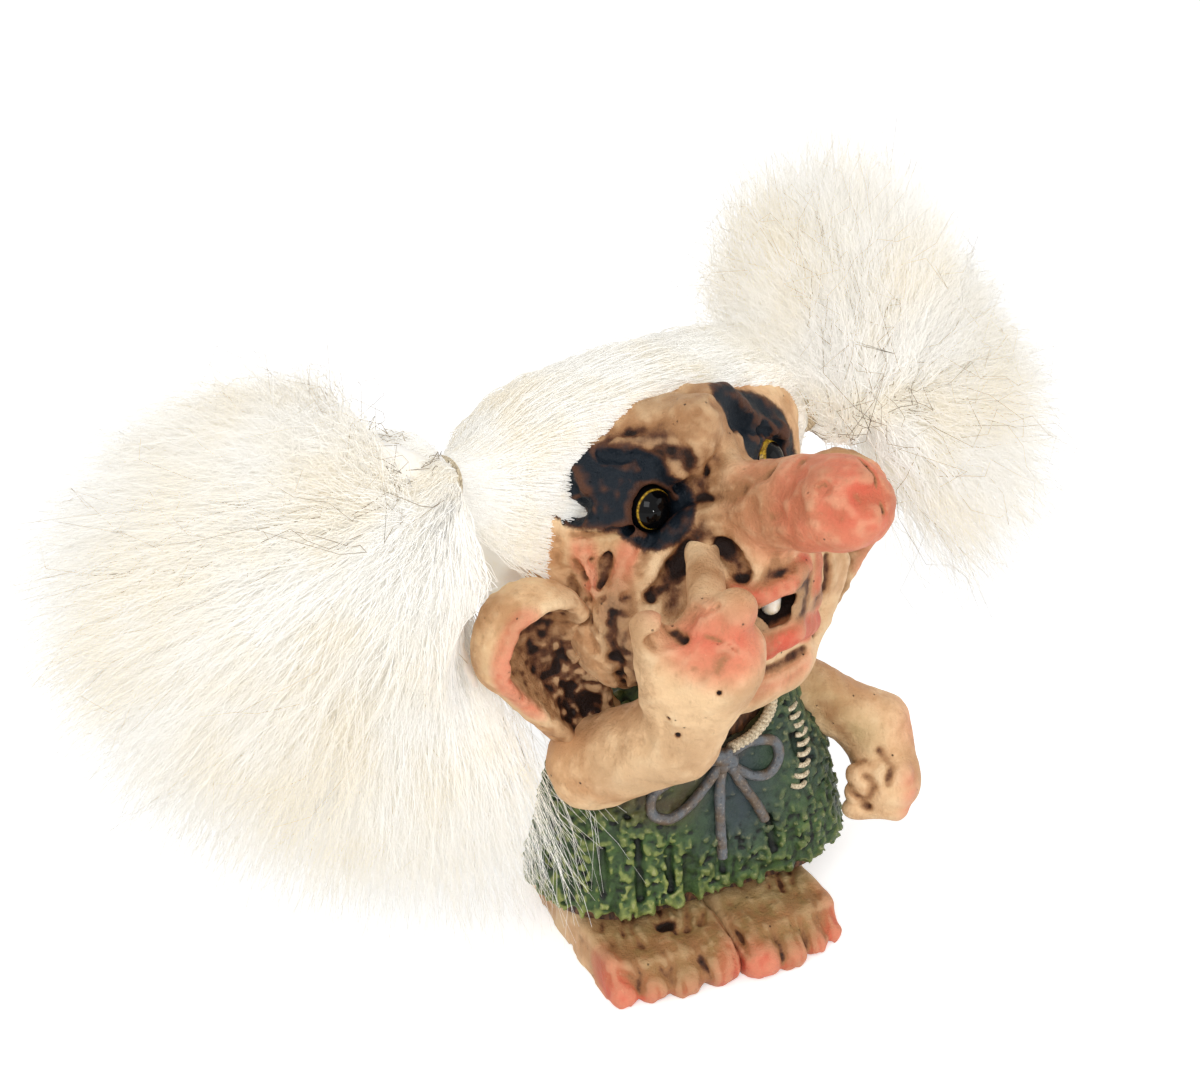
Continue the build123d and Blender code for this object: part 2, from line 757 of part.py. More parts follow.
# Build every piece
def build():
    """All the pieces, by name."""
    head_rooms = head_forms(glue_line)
    bell_room = bell(glue_line)
    ear_rooms = {side: ear_form(side, glue_line) for side in (-1, 1)}
    hand_rooms = right_hand_forms(glue_line)
    upper_lip_rooms = lip_forms(upper_lip_rise, upper_lip_radius, glue_line)
    lower_lip_rooms = lip_forms(-lower_lip_drop, lower_lip_radius, glue_line)
    arm_rooms = {-1: right_arm_forms(glue_line), 1: [left_arm_form(glue_line)]}
    sockets = [eye_socket(-1), eye_socket(1)]
    names = {-1: "right", 1: "left"}
    parts = {}
    for side, name in names.items():
        parts["foot_" + name] = foot(side)
    parts["body_core"] = body_core(head_rooms)
    parts["tunic"] = tunic(head_rooms)
    parts["head"] = shave(join(head_forms()), [*mouth_form(), *sockets])
    parts["nose"] = shave(join(nose_forms()), [*head_rooms, *sockets, index_form(glue_line)])
    upper_lip = join(lip_forms(upper_lip_rise, upper_lip_radius))
    parts["upper_lip"] = shave(upper_lip, head_rooms)
    lower_lip = join(lip_forms(-lower_lip_drop, lower_lip_radius))
    parts["lower_lip"] = shave(lower_lip, head_rooms + upper_lip_rooms)
    for side, name in names.items():
        parts["tooth_" + name] = tooth(side, upper_lip_rooms)
        parts["eye_disc_" + name] = eye_disc(side)
        parts["eye_lens_" + name] = eye_lens(side)
        parts["ear_" + name] = shave(ear_form(side), [ear_hollow(side), *head_rooms])
    parts["arm_left"] = shave(left_arm_form(), [bell_room, *head_rooms, ear_rooms[1]])
    parts["hand_left"] = shave(join(left_hand_forms()), [bell_room, *arm_rooms[1]])
    lip_rooms = upper_lip_rooms + lower_lip_rooms
    parts["finger_index_right"] = shave(index_form(), head_rooms + hand_rooms + lip_rooms)
    parts["hand_right"] = shave(join(right_hand_forms()), head_rooms + lip_rooms)
    parts["arm_right"] = shave(
        join(right_arm_forms()), [bell_room, *head_rooms, *hand_rooms, ear_rooms[-1]]
    )
    knot = ball(bell_front(0, knot_height), knot_radius)
    cord_rooms = [bell_room, ball(bell_front(0, knot_height), knot_radius, glue_line)]
    parts["bow_knot"] = shave(knot, [bell_room])
    apart = cord_radius + glue_line
    tails = {
        "middle": (-apart, -apart, bow_tail_middle_drop),
        "side": (apart, bow_tail_side_out, bow_tail_side_drop),
    }
    tail_rooms = []
    for name, sizes in tails.items():
        parts["bow_tail_" + name] = shave(bow_tail(*sizes), cord_rooms)
        tail_rooms.append(bow_tail(*sizes, glue_line))
    loops = {
        -1: (bow_loop_right_length, bow_loop_right_drop),
        1: (bow_loop_left_length, bow_loop_left_drop),
    }
    for side, name in names.items():
        neck_cord_rooms = [*cord_rooms, *head_rooms, *hand_rooms]
        parts["neck_cord_" + name] = shave(neck_cord(side), neck_cord_rooms)
        loop_rooms = [*cord_rooms, *tail_rooms, neck_cord(side, glue_line)]
        parts["bow_loop_" + name] = shave(bow_loop(side, *loops[side]), loop_rooms)
    parts["armhole_stitches"] = Compound([shave(stitch, [bell_room]) for stitch in stitches()])
    neck_room = Pos(0, neck_back_set, shoulder_height) * Cylinder(neck_radius + glue_line, overrun)
    scalp_rooms = scalp_forms(glue_line)
    tie_rooms = [hair_tie(-1, glue_line), hair_tie(1, glue_line)]
    parts["scalp_fleece"] = shave(
        join(scalp_forms()),
        [*head_rooms, ear_rooms[-1], ear_rooms[1], bell_room, neck_room, *tie_rooms],
    )
    for side, name in names.items():
        parts["hair_tie_" + name] = hair_tie(side)
    parts["hair_bunch_right"] = hair_bunch(
        -1, right_bunch_reach, right_lobe_radius,
        right_lobe_turns, right_lobe_shares, right_lobe_width_shares,
        [*scalp_rooms, *head_rooms, ear_rooms[-1], bell_room, *arm_rooms[-1]],
    )
    parts["hair_bunch_left"] = hair_bunch(
        1, left_bunch_reach, left_lobe_radius,
        left_lobe_turns, left_lobe_shares, left_lobe_width_shares,
        [*scalp_rooms, *head_rooms, ear_rooms[1], bell_room, *arm_rooms[1]],
    )
    return parts


for node, shape in build().items():
    export_step(shape, "parts/" + node + ".step")
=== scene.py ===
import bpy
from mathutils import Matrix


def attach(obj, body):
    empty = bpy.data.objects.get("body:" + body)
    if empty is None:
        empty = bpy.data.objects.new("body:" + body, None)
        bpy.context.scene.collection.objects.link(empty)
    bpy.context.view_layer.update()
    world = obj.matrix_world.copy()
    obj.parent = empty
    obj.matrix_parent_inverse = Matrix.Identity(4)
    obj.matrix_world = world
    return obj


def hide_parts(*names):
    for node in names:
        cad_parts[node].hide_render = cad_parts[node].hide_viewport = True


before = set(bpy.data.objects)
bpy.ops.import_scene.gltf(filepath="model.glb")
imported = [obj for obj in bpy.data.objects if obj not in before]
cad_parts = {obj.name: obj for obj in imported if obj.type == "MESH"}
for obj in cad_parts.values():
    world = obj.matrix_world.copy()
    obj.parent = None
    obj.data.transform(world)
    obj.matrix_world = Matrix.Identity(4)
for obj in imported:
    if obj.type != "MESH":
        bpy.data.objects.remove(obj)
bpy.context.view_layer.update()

import math
import bpy
import numpy as np
from mathutils import Matrix, Vector

# The looks of a cast and hand-painted troll ornament with fleece hair.
# Measures here are millimetres, turned into metres where a mesh is made.
# The figure looks along -Y, its right side is at -X.

MM = 0.001
FAR = 30.0             # distance that the clay's grid starts with
LATTICE = 32           # cells after which the noise repeats


# Camera
photo_width = 1200
photo_height = 1089
focal_pixels = 2300
camera_turn = math.radians(-26)
camera_rise = math.radians(30)
camera_place = np.array([-216.6, -393.6, 357.5])
camera_right = np.array([math.cos(camera_turn), math.sin(camera_turn), 0])
camera_back = np.array([
    math.sin(camera_turn) * math.cos(camera_rise),
    -math.cos(camera_turn) * math.cos(camera_rise),
    math.sin(camera_rise),
])
camera_up = np.cross(camera_back, camera_right)


def make_camera():
    """The camera at the photograph's viewing angle."""
    data = bpy.data.cameras.new("camera")
    data.sensor_fit = "HORIZONTAL"
    data.sensor_width = 36
    data.lens = data.sensor_width * focal_pixels / photo_width
    data.clip_start = 0.01
    data.clip_end = 20
    camera = bpy.data.objects.new("camera", data)
    bpy.context.scene.collection.objects.link(camera)
    axes = np.stack([camera_right, camera_up, camera_back], 1)
    camera.matrix_world = Matrix.LocRotScale(
        Vector(camera_place * MM), Matrix(axes.tolist()).to_quaternion(), None
    )
    bpy.context.scene.camera = camera


def pixel_ray(pixel):
    """Unit direction of the camera's ray through a pixel of the photograph."""
    across = (pixel[0] - photo_width / 2) / focal_pixels
    down = (pixel[1] - photo_height / 2) / focal_pixels
    direction = across * camera_right - down * camera_up - camera_back
    return direction / np.linalg.norm(direction)


# Clay
def soft_min(first, second, blend):
    """The smaller of two distances, rounded over where they are nearly equal."""
    if blend <= 0:
        return np.minimum(first, second)
    share = np.clip(0.5 + 0.5 * (second - first) / blend, 0, 1)
    return second + (first - second) * share - blend * share * (1 - share)


def chain_distance(grid, points, radii):
    """Distance from the grid's points to a chain of rounded cones."""
    best = None
    if len(points) == 1:
        return np.sqrt(sum((axis - centre) ** 2 for axis, centre in zip(grid, points[0]))) - radii[0]
    for start, end, first, last in zip(points, points[1:], radii, radii[1:]):
        along = end - start
        offset = [axis - value for axis, value in zip(grid, start)]
        share = sum(gap * value for gap, value in zip(offset, along)) / max(along @ along, 1e-9)
        share = np.clip(share, 0, 1)
        gap = np.sqrt(sum((gap - share * value) ** 2 for gap, value in zip(offset, along)))
        gap = gap - (first + share * (last - first))
        best = gap if best is None else np.minimum(best, gap)
    return best


def noise(grid, cell, seed):
    """Smooth noise from -1 to 1, with lumps about one cell across."""
    lattice = np.random.default_rng(seed).random((LATTICE, LATTICE, LATTICE)).astype(np.float32) * 2 - 1
    scaled = [np.asarray(axis, np.float32) / size for axis, size in zip(grid, cell)]
    base = [np.floor(axis) for axis in scaled]
    share = [axis - low for axis, low in zip(scaled, base)]
    share = [part * part * (3 - 2 * part) for part in share]
    index = [low.astype(int) for low in base]
    total = 0
    for dx in (0, 1):
        for dy in (0, 1):
            for dz in (0, 1):
                weight = (share[0] if dx else 1 - share[0]) * (share[1] if dy else 1 - share[1])
                weight = weight * (share[2] if dz else 1 - share[2])
                corner = lattice[
                    (index[0] + dx) % LATTICE, (index[1] + dy) % LATTICE, (index[2] + dz) % LATTICE
                ]
                total = total + weight * corner
    return total


class Clay:
    """Clay on a grid of signed distances in millimetres, negative inside."""

    def __init__(self, low, high, step):
        self.step = step * 1
        self.low = np.array(low, float)
        counts = np.ceil((np.array(high, float) - self.low) / self.step).astype(int) + 1
        self.field = np.full(counts, FAR, np.float32)

    def around(self, points, reach):
        """The slices of the grid and its coordinates near some points."""
        points = np.atleast_2d(points)
        first = np.floor((points.min(0) - reach - self.low) / self.step).astype(int)
        last = np.ceil((points.max(0) + reach - self.low) / self.step).astype(int) + 1
        first = np.clip(first, 0, self.field.shape)
        last = np.clip(last, 0, self.field.shape)
        slices = tuple(slice(a, b) for a, b in zip(first, last))
        axes = [(self.low[i] + self.step * np.arange(first[i], last[i])).astype(np.float32) for i in range(3)]
        return slices, np.meshgrid(*axes, indexing="ij", sparse=True)

    def whole(self):
        """The coordinates of the whole grid."""
        return self.around([self.low, self.low + self.step * np.array(self.field.shape)], 0)[1]

    def add(self, points, radii, blend=0.0):
        """Adds a chain of rounded cones, smoothly joined to what is there."""
        points = np.atleast_2d(np.array(points, float))
        radii = np.broadcast_to(np.array(radii, float), len(points))
        slices, grid = self.around(points, radii.max() + blend + 4)
        self.field[slices] = soft_min(self.field[slices], chain_distance(grid, points, radii), blend)

    def cut(self, points, radii, blend=0.0):
        """Cuts a chain of rounded cones away, with rounded edges."""
        points = np.atleast_2d(np.array(points, float))
        radii = np.broadcast_to(np.array(radii, float), len(points))
        slices, grid = self.around(points, radii.max() + blend + 1)
        distance = chain_distance(grid, points, radii)
        self.field[slices] = -soft_min(-self.field[slices], distance, blend)

    def values(self, places, field=None):
        """The field, or another one on the same grid, at some places."""
        field = self.field if field is None else field
        scaled = (np.atleast_2d(places) - self.low) / self.step
        top = np.array(self.field.shape) - 2
        outside = ((scaled < 0) | (scaled > top)).any(1)
        base = np.clip(np.floor(scaled).astype(int), 0, top)
        share = np.clip(scaled - base, 0, 1)
        total = np.zeros(len(scaled))
        for corner in np.ndindex(2, 2, 2):
            weight = np.prod(np.where(corner, share, 1 - share), 1)
            total += weight * field[tuple((base + corner).T)]
        total[outside] = FAR
        return total

    def normal(self, place):
        """The outward direction of the surface at a place."""
        steps = np.eye(3) * self.step
        slope = self.values(place + steps) - self.values(place - steps)
        return slope / max(np.linalg.norm(slope), 1e-9)

    def see(self, pixel):
        """Where the camera's ray through a pixel first meets the clay, or comes nearest to it."""
        direction = pixel_ray(pixel)
        middle = self.low + self.step * np.array(self.field.shape) / 2
        half = np.linalg.norm(self.step * np.array(self.field.shape)) / 2
        centre = (middle - camera_place) @ direction
        ways = np.arange(centre - half, centre + half, self.step / 2)
        places = camera_place + ways[:, None] * direction
        values = self.values(places)
        inside = np.nonzero(values < 0)[0]
        return places[inside[0] if len(inside) else np.argmin(values)]

    def seen(self, pixels):
        """Where the camera's rays through some pixels meet the clay."""
        return np.array([self.see(pixel) for pixel in pixels])

    def follow(self, change, way, pixels, radii, depth, blend):
        """Cuts from outside the surface, or adds from inside it, along pixels of the photograph."""
        radii = np.broadcast_to(np.array(radii, float), len(pixels))
        places = self.seen(pixels)
        centres = [
            place + way * self.normal(place) * (radius - depth) for place, radius in zip(places, radii)
        ]
        change(centres, radii, blend)
        return places

    def groove(self, pixels, radii, depth, blend=0.4):
        """Carves a groove along pixels of the photograph."""
        return self.follow(self.cut, 1, pixels, radii, depth, blend)

    def ridge(self, pixels, radii, height, blend=1.5):
        """Raises a ridge along pixels of the photograph."""
        return self.follow(self.add, -1, pixels, radii, height, blend)

    def roughen(self, amount, cell, seed, within=4.0, line=None, reach=0.0):
        """Adds noise to the surface, everywhere or near a line."""
        index = np.nonzero(np.abs(self.field) < within)
        grid = [self.low[axis] + self.step * index[axis] for axis in range(3)]
        change = amount * noise(grid, np.broadcast_to(cell, 3), seed)
        if line is not None:
            change = change * near_line(np.stack(grid, 1), line, reach * 0.75, reach * 0.25)
        self.field[index] += change

    def scatter(self, pixels, spread, count, radius, depth, seed):
        """Cuts short random marks near a line of the photograph, or raises lumps if the depth is negative."""
        random = np.random.default_rng(seed)
        pixels = np.array(pixels, float)
        for first in random.integers(0, len(pixels) - 1, count):
            pixel = pixels[first] + random.random() * (pixels[first + 1] - pixels[first])
            place = self.see(pixel + random.normal(0, spread, 2))
            size = radius * random.uniform(0.6, 1.3)
            out = self.normal(place)
            along = np.cross(out, random.normal(0, 1, 3))
            along *= random.uniform(0.5, 2.2) * size / max(np.linalg.norm(along), 1e-6)
            centre = place + out * (size - abs(depth)) * math.copysign(1, depth)
            change = self.cut if depth > 0 else self.add
            change([centre - along, centre + along], size, size * 0.8)

    def blurred(self, radius):
        """The field, averaged over a small cube."""
        reach = max(int(round(radius / self.step)), 1)
        soft = np.clip(self.field, -2 * radius, 2 * radius)
        for axis in range(3):
            size = soft.shape[axis]
            padded = np.pad(soft, [(reach + 1, reach) if i == axis else (0, 0) for i in range(3)], "edge")
            sums = np.cumsum(padded, axis, dtype=np.float64)
            high = np.take(sums, np.arange(size) + 2 * reach + 1, axis)
            low = np.take(sums, np.arange(size), axis)
            soft = ((high - low) / (2 * reach + 1)).astype(np.float32)
        return soft

    def surface(self):
        """Points and four-sided faces over the surface."""
        field = self.field
        inside = field < 0
        corners = np.array(list(np.ndindex(2, 2, 2)))
        count = np.zeros(np.array(field.shape) - 1, np.int8)
        for corner in corners:
            count += inside[tuple(slice(c, n - 1 + c) for c, n in zip(corner, field.shape))]
        cells = np.argwhere((count > 0) & (count < 8))
        number = np.full(count.shape, -1, np.int64)
        number[tuple(cells.T)] = np.arange(len(cells))
        values = {tuple(corner): field[tuple((cells + corner).T)] for corner in corners}
        total = np.zeros((len(cells), 3))
        crossings = np.zeros(len(cells))
        for axis in range(3):
            for corner in corners[corners[:, axis] == 0]:
                other = corner.copy()
                other[axis] = 1
                first, last = values[tuple(corner)], values[tuple(other)]
                crosses = (first < 0) != (last < 0)
                share = np.where(crosses, first / np.where(crosses, first - last, 1), 0)
                point = corner + share[:, None] * (other - corner)
                total += np.where(crosses[:, None], point, 0)
                crossings += crosses
        points = self.low + self.step * (cells + total / crossings[:, None])
        faces = []
        for axis in range(3):
            next_axis, last_axis = (axis + 1) % 3, (axis + 2) % 3
            lower = inside.take(np.arange(field.shape[axis] - 1), axis)
            upper = inside.take(np.arange(1, field.shape[axis]), axis)
            edges = np.argwhere(lower != upper)
            limit = np.array(count.shape)
            fits = (edges[:, next_axis] > 0) & (edges[:, last_axis] > 0)
            fits &= (edges[:, next_axis] < limit[next_axis]) & (edges[:, last_axis] < limit[last_axis])
            edges = edges[fits]
            ring = []
            for step_next, step_last in ((1, 1), (0, 1), (0, 0), (1, 0)):
                cell = edges.copy()
                cell[:, next_axis] -= step_next
                cell[:, last_axis] -= step_last
                ring.append(number[tuple(cell.T)])
            quads = np.stack(ring, 1)
            outward = lower[tuple(edges.T)]
            faces.append(np.where(outward[:, None], quads, quads[:, ::-1]))
        return points, np.concatenate(faces)


def relax(points, faces, turns):
    """Moves each point towards the middle of its neighbours, a few times."""
    edges = np.concatenate([faces[:, [i, (i + 1) % 4]] for i in range(4)])
    count = np.maximum(np.bincount(edges[:, 0], minlength=len(points)), 1)[:, None]
    for turn in range(turns):
        total = [np.bincount(edges[:, 0], points[edges[:, 1], axis], len(points)) for axis in range(3)]
        points = points * 0.5 + 0.5 * np.stack(total, 1) / count
    return points


def make_mesh(name, points, faces):
    """A smooth-shaded object from points in millimetres and faces of one size."""
    mesh = bpy.data.meshes.new(name)
    sides = faces.shape[1]
    mesh.vertices.add(len(points))
    mesh.vertices.foreach_set("co", (points * MM).astype(np.float32).ravel())
    mesh.loops.add(faces.size)
    mesh.loops.foreach_set("vertex_index", faces.astype(np.int32).ravel())
    mesh.polygons.add(len(faces))
    mesh.polygons.foreach_set("loop_start", np.arange(0, faces.size, sides, dtype=np.int32))
    mesh.polygons.foreach_set("use_smooth", np.ones(len(faces), bool))
    mesh.update(calc_edges=True)
    mesh.validate()
    piece = bpy.data.objects.new(name, mesh)
    bpy.context.scene.collection.objects.link(piece)
    return piece


def set_colours(piece, name, values):
    """Stores three numbers a point, for the material to read."""
    values = np.column_stack([values, np.ones(len(values))])
    layer = piece.data.attributes.new(name, "FLOAT_COLOR", "POINT")
    layer.data.foreach_set("color", np.clip(values, 0, 1).astype(np.float32).ravel())


def near_line(points, line, radius, soft):
    """1 within a radius of a line through places, falling to 0 over a soft edge."""
    line = np.atleast_2d(line)
    distance = chain_distance(points.T, line, np.zeros(len(line)))
    return np.clip((radius + soft - distance) / (2 * soft), 0, 1)


# Paints and materials
def rgb(red, green, blue):
    """A colour as it looks on a screen, in the renderer's own numbers."""
    values = []
    for value in (red, green, blue):
        share = value / 255
        values.append(share / 12.92 if share <= 0.04045 else ((share + 0.055) / 1.055) ** 2.4)
    return (*values, 1)


peach = rgb(228, 176, 128)
cream = rgb(244, 206, 160)
coral = rgb(220, 100, 76)
rose = rgb(232, 144, 110)
tan = rgb(160, 114, 74)
olive = rgb(150, 128, 78)
umber = rgb(30, 15, 9)
bark = rgb(98, 60, 38)
navy = rgb(10, 22, 32)
leaf_dark = rgb(34, 52, 30)
leaf = rgb(70, 96, 50)
leaf_light = rgb(138, 148, 78)
slate = rgb(50, 62, 68)
fleece_pale = rgb(253, 251, 246)
fleece_warm = rgb(251, 245, 232)


class Shader:
    """Builds one material's nodes."""

    def __init__(self, name, **values):
        self.material = bpy.data.materials.new(name)
        self.material.use_nodes = True
        self.nodes = self.material.node_tree.nodes
        self.links = self.material.node_tree.links
        self.main = self.nodes["Principled BSDF"]
        for key, value in values.items():
            self.put(self.main.inputs[key.replace("_", " ")], value)

    def put(self, socket, value):
        """Sets a socket to a value, or links it to another socket."""
        if isinstance(value, bpy.types.NodeSocket):
            self.links.new(value, socket)
        else:
            socket.default_value = value

    def math(self, operation, first, second=0.0):
        """A sum, product or the like."""
        node = self.nodes.new("ShaderNodeMath")
        node.operation = operation
        self.put(node.inputs[0], first)
        self.put(node.inputs[1], second)
        return node.outputs[0]

    def sum(self, *terms):
        """The sum of sockets, each with its weight."""
        total = 0.0
        for socket, weight in terms:
            total = self.math("ADD", total, self.math("MULTIPLY", socket, weight))
        return total

    def mix(self, factor, first, second, blend="MIX"):
        """A mixture of two colours."""
        node = self.nodes.new("ShaderNodeMix")
        node.data_type = "RGBA"
        node.blend_type = blend
        self.put([socket for socket in node.inputs if socket.name == "Factor"][0], factor)
        colours = [socket for socket in node.inputs if socket.type == "RGBA"]
        self.put(colours[0], first)
        self.put(colours[1], second)
        return [socket for socket in node.outputs if socket.type == "RGBA"][0]

    def range(self, value, low, high, first=0.0, last=1.0):
        """A value taken from one range to another, and held at its ends."""
        node = self.nodes.new("ShaderNodeMapRange")
        node.interpolation_type = "SMOOTHSTEP"
        self.put(node.inputs["Value"], value)
        self.put(node.inputs["From Min"], low)
        self.put(node.inputs["From Max"], high)
        self.put(node.inputs["To Min"], first)
        self.put(node.inputs["To Max"], last)
        return node.outputs["Result"]

    def place(self, stretch=(1, 1, 1)):
        """The object's own coordinates, in millimetres over a stretch."""
        coordinates = self.nodes.new("ShaderNodeTexCoord")
        node = self.nodes.new("ShaderNodeMapping")
        self.links.new(coordinates.outputs["Object"], node.inputs["Vector"])
        node.inputs["Scale"].default_value = [1 / MM / part for part in stretch]
        return node.outputs["Vector"]

    def noise(self, size, detail=4.0, roughness=0.6, stretch=(1, 1, 1)):
        """Noise about 0.5, with lumps of a size in millimetres."""
        node = self.nodes.new("ShaderNodeTexNoise")
        self.links.new(self.place(stretch), node.inputs["Vector"])
        node.inputs["Scale"].default_value = 1 / size
        node.inputs["Detail"].default_value = detail
        node.inputs["Roughness"].default_value = roughness
        return node.outputs[0]

    def specks(self, size):
        """Distance from scattered points, 0 at each."""
        node = self.nodes.new("ShaderNodeTexVoronoi")
        self.links.new(self.place(), node.inputs["Vector"])
        node.inputs["Scale"].default_value = 1 / size
        return node.outputs["Distance"]

    def stored(self, name):
        """The three numbers stored at the points under a name."""
        node = self.nodes.new("ShaderNodeAttribute")
        node.attribute_name = name
        split = self.nodes.new("ShaderNodeSeparateColor")
        self.links.new(node.outputs["Color"], split.inputs[0])
        return list(split.outputs)

    def bump(self, height, strength, distance):
        """Bumps on the surface from a height."""
        node = self.nodes.new("ShaderNodeBump")
        node.inputs["Strength"].default_value = strength
        node.inputs["Distance"].default_value = distance * MM
        self.put(node.inputs["Height"], height)
        self.links.new(node.outputs[0], self.main.inputs["Normal"])


def painted_skin():
    """Cast resin, painted peach and coral, with a dark wash where it is painted dark, and painted shade that
    darkens the folds and hollows.
    """
    skin = Shader("painted_skin", Roughness=0.5, Specular_IOR_Level=0.25)
    coral_mask, dark_mask, navy_mask = skin.stored("paint")
    tan_mask, pale_mask, olive_mask = skin.stored("paint_more")
    fold, hollow, grain = skin.stored("relief")
    broad = skin.noise(12, 4)
    patchy = skin.noise(4.5, 6, 0.68)
    fine = skin.noise(1.0, 4, 0.7)
    ragged = skin.sum((skin.math("SUBTRACT", patchy, 0.5), 0.9), (skin.math("SUBTRACT", fine, 0.5), 0.6))
    colour = skin.mix(skin.range(broad, 0.35, 0.65), peach, cream)
    colour = skin.mix(pale_mask, colour, cream)
    warm = skin.sum((coral_mask, 1.0), (skin.math("MULTIPLY", coral_mask, ragged), 0.5))
    colour = skin.mix(skin.range(warm, 0.0, 0.5), colour, rose)
    colour = skin.mix(skin.range(warm, 0.4, 1.0), colour, coral)
    uneven = skin.range(patchy, 0.25, 0.7, 0.65, 1.0)
    colour = skin.mix(skin.math("MULTIPLY", tan_mask, uneven), colour, tan)
    colour = skin.mix(skin.math("MULTIPLY", olive_mask, uneven), colour, olive)
    colour = skin.mix(skin.range(broad, 0.6, 0.36, 0.0, 0.36), colour, tan)
    streaks = skin.noise(2.2, 5, 0.7, (1, 1, 4))
    colour = skin.mix(skin.range(streaks, 0.54, 0.75, 0.0, 0.35), colour, tan)
    colour = skin.mix(skin.range(fine, 0.56, 0.8, 0.0, 0.3), colour, cream)
    # Painted shade: the creases and broad hollows are darkened through tan and bark to umber, together with
    # the dark wash where it is painted dark.
    cavity = skin.range(fold, 0.5, 0.18)
    hollow_shade = skin.sum((skin.range(hollow, 0.47, 0.2), 0.25), (skin.range(grain, 0.47, 0.2), 0.15))
    raised = skin.range(skin.sum((fold, 0.5), (grain, 0.5)), 0.5, 0.68)
    wash_and_shade = skin.sum((cavity, 0.36), (skin.math("MULTIPLY", cavity, dark_mask), 0.4), (hollow_shade, 1.0),
                    (dark_mask, 0.9), (skin.math("MULTIPLY", raised, dark_mask), -0.3), (ragged, 0.65))
    colour = skin.mix(skin.range(wash_and_shade, 0.02, 0.5, 0.0, 0.8), colour, tan)
    colour = skin.mix(skin.range(wash_and_shade, 0.42, 0.85), colour, bark)
    colour = skin.mix(skin.range(wash_and_shade, 0.72, 1.1), colour, umber)
    pits = skin.math("MULTIPLY", skin.range(skin.specks(3.4), 0.1, 0.04),
                     skin.range(skin.noise(9, 2), 0.52, 0.58))
    colour = skin.mix(skin.math("MULTIPLY", pits, 0.8), colour, umber)
    edge = skin.sum((navy_mask, 1.0), (ragged, 0.7))
    colour = skin.mix(skin.range(edge, 0.2, 0.55), colour, bark)
    rubbed = skin.range(skin.sum((grain, 0.6), (fold, 0.4)), 0.5, 0.7, 1.0, 0.3)
    painted = skin.math("MULTIPLY", skin.range(edge, 0.3, 0.75), rubbed)
    colour = skin.mix(painted, colour, navy)
    lifted = skin.math("MULTIPLY", raised, skin.range(navy_mask, 0.5, 0.1))
    colour = skin.mix(skin.math("MULTIPLY", lifted, 0.2), colour, cream, "SCREEN")
    skin.put(skin.main.inputs["Base Color"], colour)
    skin.bump(skin.sum((fine, 0.9), (patchy, 0.9), (streaks, 0.4), (pits, -1.2)), 0.85, 0.8)
    return skin.material


def painted_tunic():
    """Moss-green leaf relief, with painted shade in its gaps, yellow painted highlights on its raised tips,
    and a slate front.
    """
    cloth = Shader("painted_tunic", Roughness=0.4, Specular_IOR_Level=0.3)
    yellow_mask, dark_mask, slate_mask = cloth.stored("paint")
    brown_mask = cloth.stored("paint_more")[0]
    fold, hollow, grain = cloth.stored("relief")
    patchy = cloth.noise(4, 6, 0.68)
    fine = cloth.noise(0.9, 4, 0.7)
    ragged = cloth.sum((cloth.math("SUBTRACT", patchy, 0.5), 0.8), (cloth.math("SUBTRACT", fine, 0.5), 0.8))
    colour = cloth.mix(cloth.range(patchy, 0.3, 0.7), leaf_dark, leaf)
    # Painted highlight: the raised leaf tips are lightened to a yellow green.
    lit = cloth.sum((cloth.range(fold, 0.5, 0.72), 0.5), (cloth.range(grain, 0.5, 0.8), 0.5), (ragged, 0.7))
    lit = cloth.math("MULTIPLY", cloth.range(lit, 0.1, 1.3), cloth.sum((yellow_mask, 0.7), (hollow, 0.5)))
    colour = cloth.mix(lit, colour, leaf_light)
    slate_share = cloth.math("MULTIPLY", slate_mask, cloth.range(patchy, 0.2, 0.6, 0.5, 1.0))
    colour = cloth.mix(slate_share, colour, slate)
    colour = cloth.mix(cloth.math("MULTIPLY", brown_mask, 0.9), colour, rgb(84, 62, 44))
    rubbed = cloth.math("MULTIPLY", cloth.range(grain, 0.6, 0.85), cloth.range(fine, 0.5, 0.65))
    colour = cloth.mix(cloth.math("MULTIPLY", rubbed, 0.5), colour, rgb(178, 172, 132))
    # Painted shade: the gaps between the leaves are darkened nearly to black, together with the dark paint in
    # the slits.
    wash_and_shade = cloth.sum((cloth.range(fold, 0.52, 0.22), 0.75), (cloth.range(grain, 0.5, 0.25), 0.35),
                     (cloth.range(hollow, 0.45, 0.2), 0.35), (dark_mask, 0.6), (ragged, 0.8))
    colour = cloth.mix(cloth.range(wash_and_shade, 0.1, 1.1, 0.0, 0.97), colour, rgb(8, 12, 10))
    cloth.put(cloth.main.inputs["Base Color"], colour)
    cloth.put(cloth.main.inputs["Roughness"], cloth.range(fine, 0.3, 0.7, 0.28, 0.5))
    cloth.bump(cloth.sum((fine, 0.7), (patchy, 0.6)), 0.7, 0.7)
    return cloth.material


def painted_cord():
    """Moulded cord, slate and brown in patches, with pale and dark flecks."""
    cord = Shader("painted_cord", Roughness=0.38)
    patchy = cord.noise(4, 4)
    fine = cord.noise(0.8, 4, 0.7)
    colour = cord.mix(cord.range(patchy, 0.35, 0.65), rgb(92, 98, 104), rgb(98, 82, 66))
    colour = cord.mix(cord.range(fine, 0.55, 0.75), colour, rgb(166, 156, 142))
    colour = cord.mix(cord.range(fine, 0.45, 0.3), colour, rgb(34, 32, 34))
    cord.put(cord.main.inputs["Base Color"], colour)
    cord.bump(fine, 0.5, 0.3)
    return cord.material


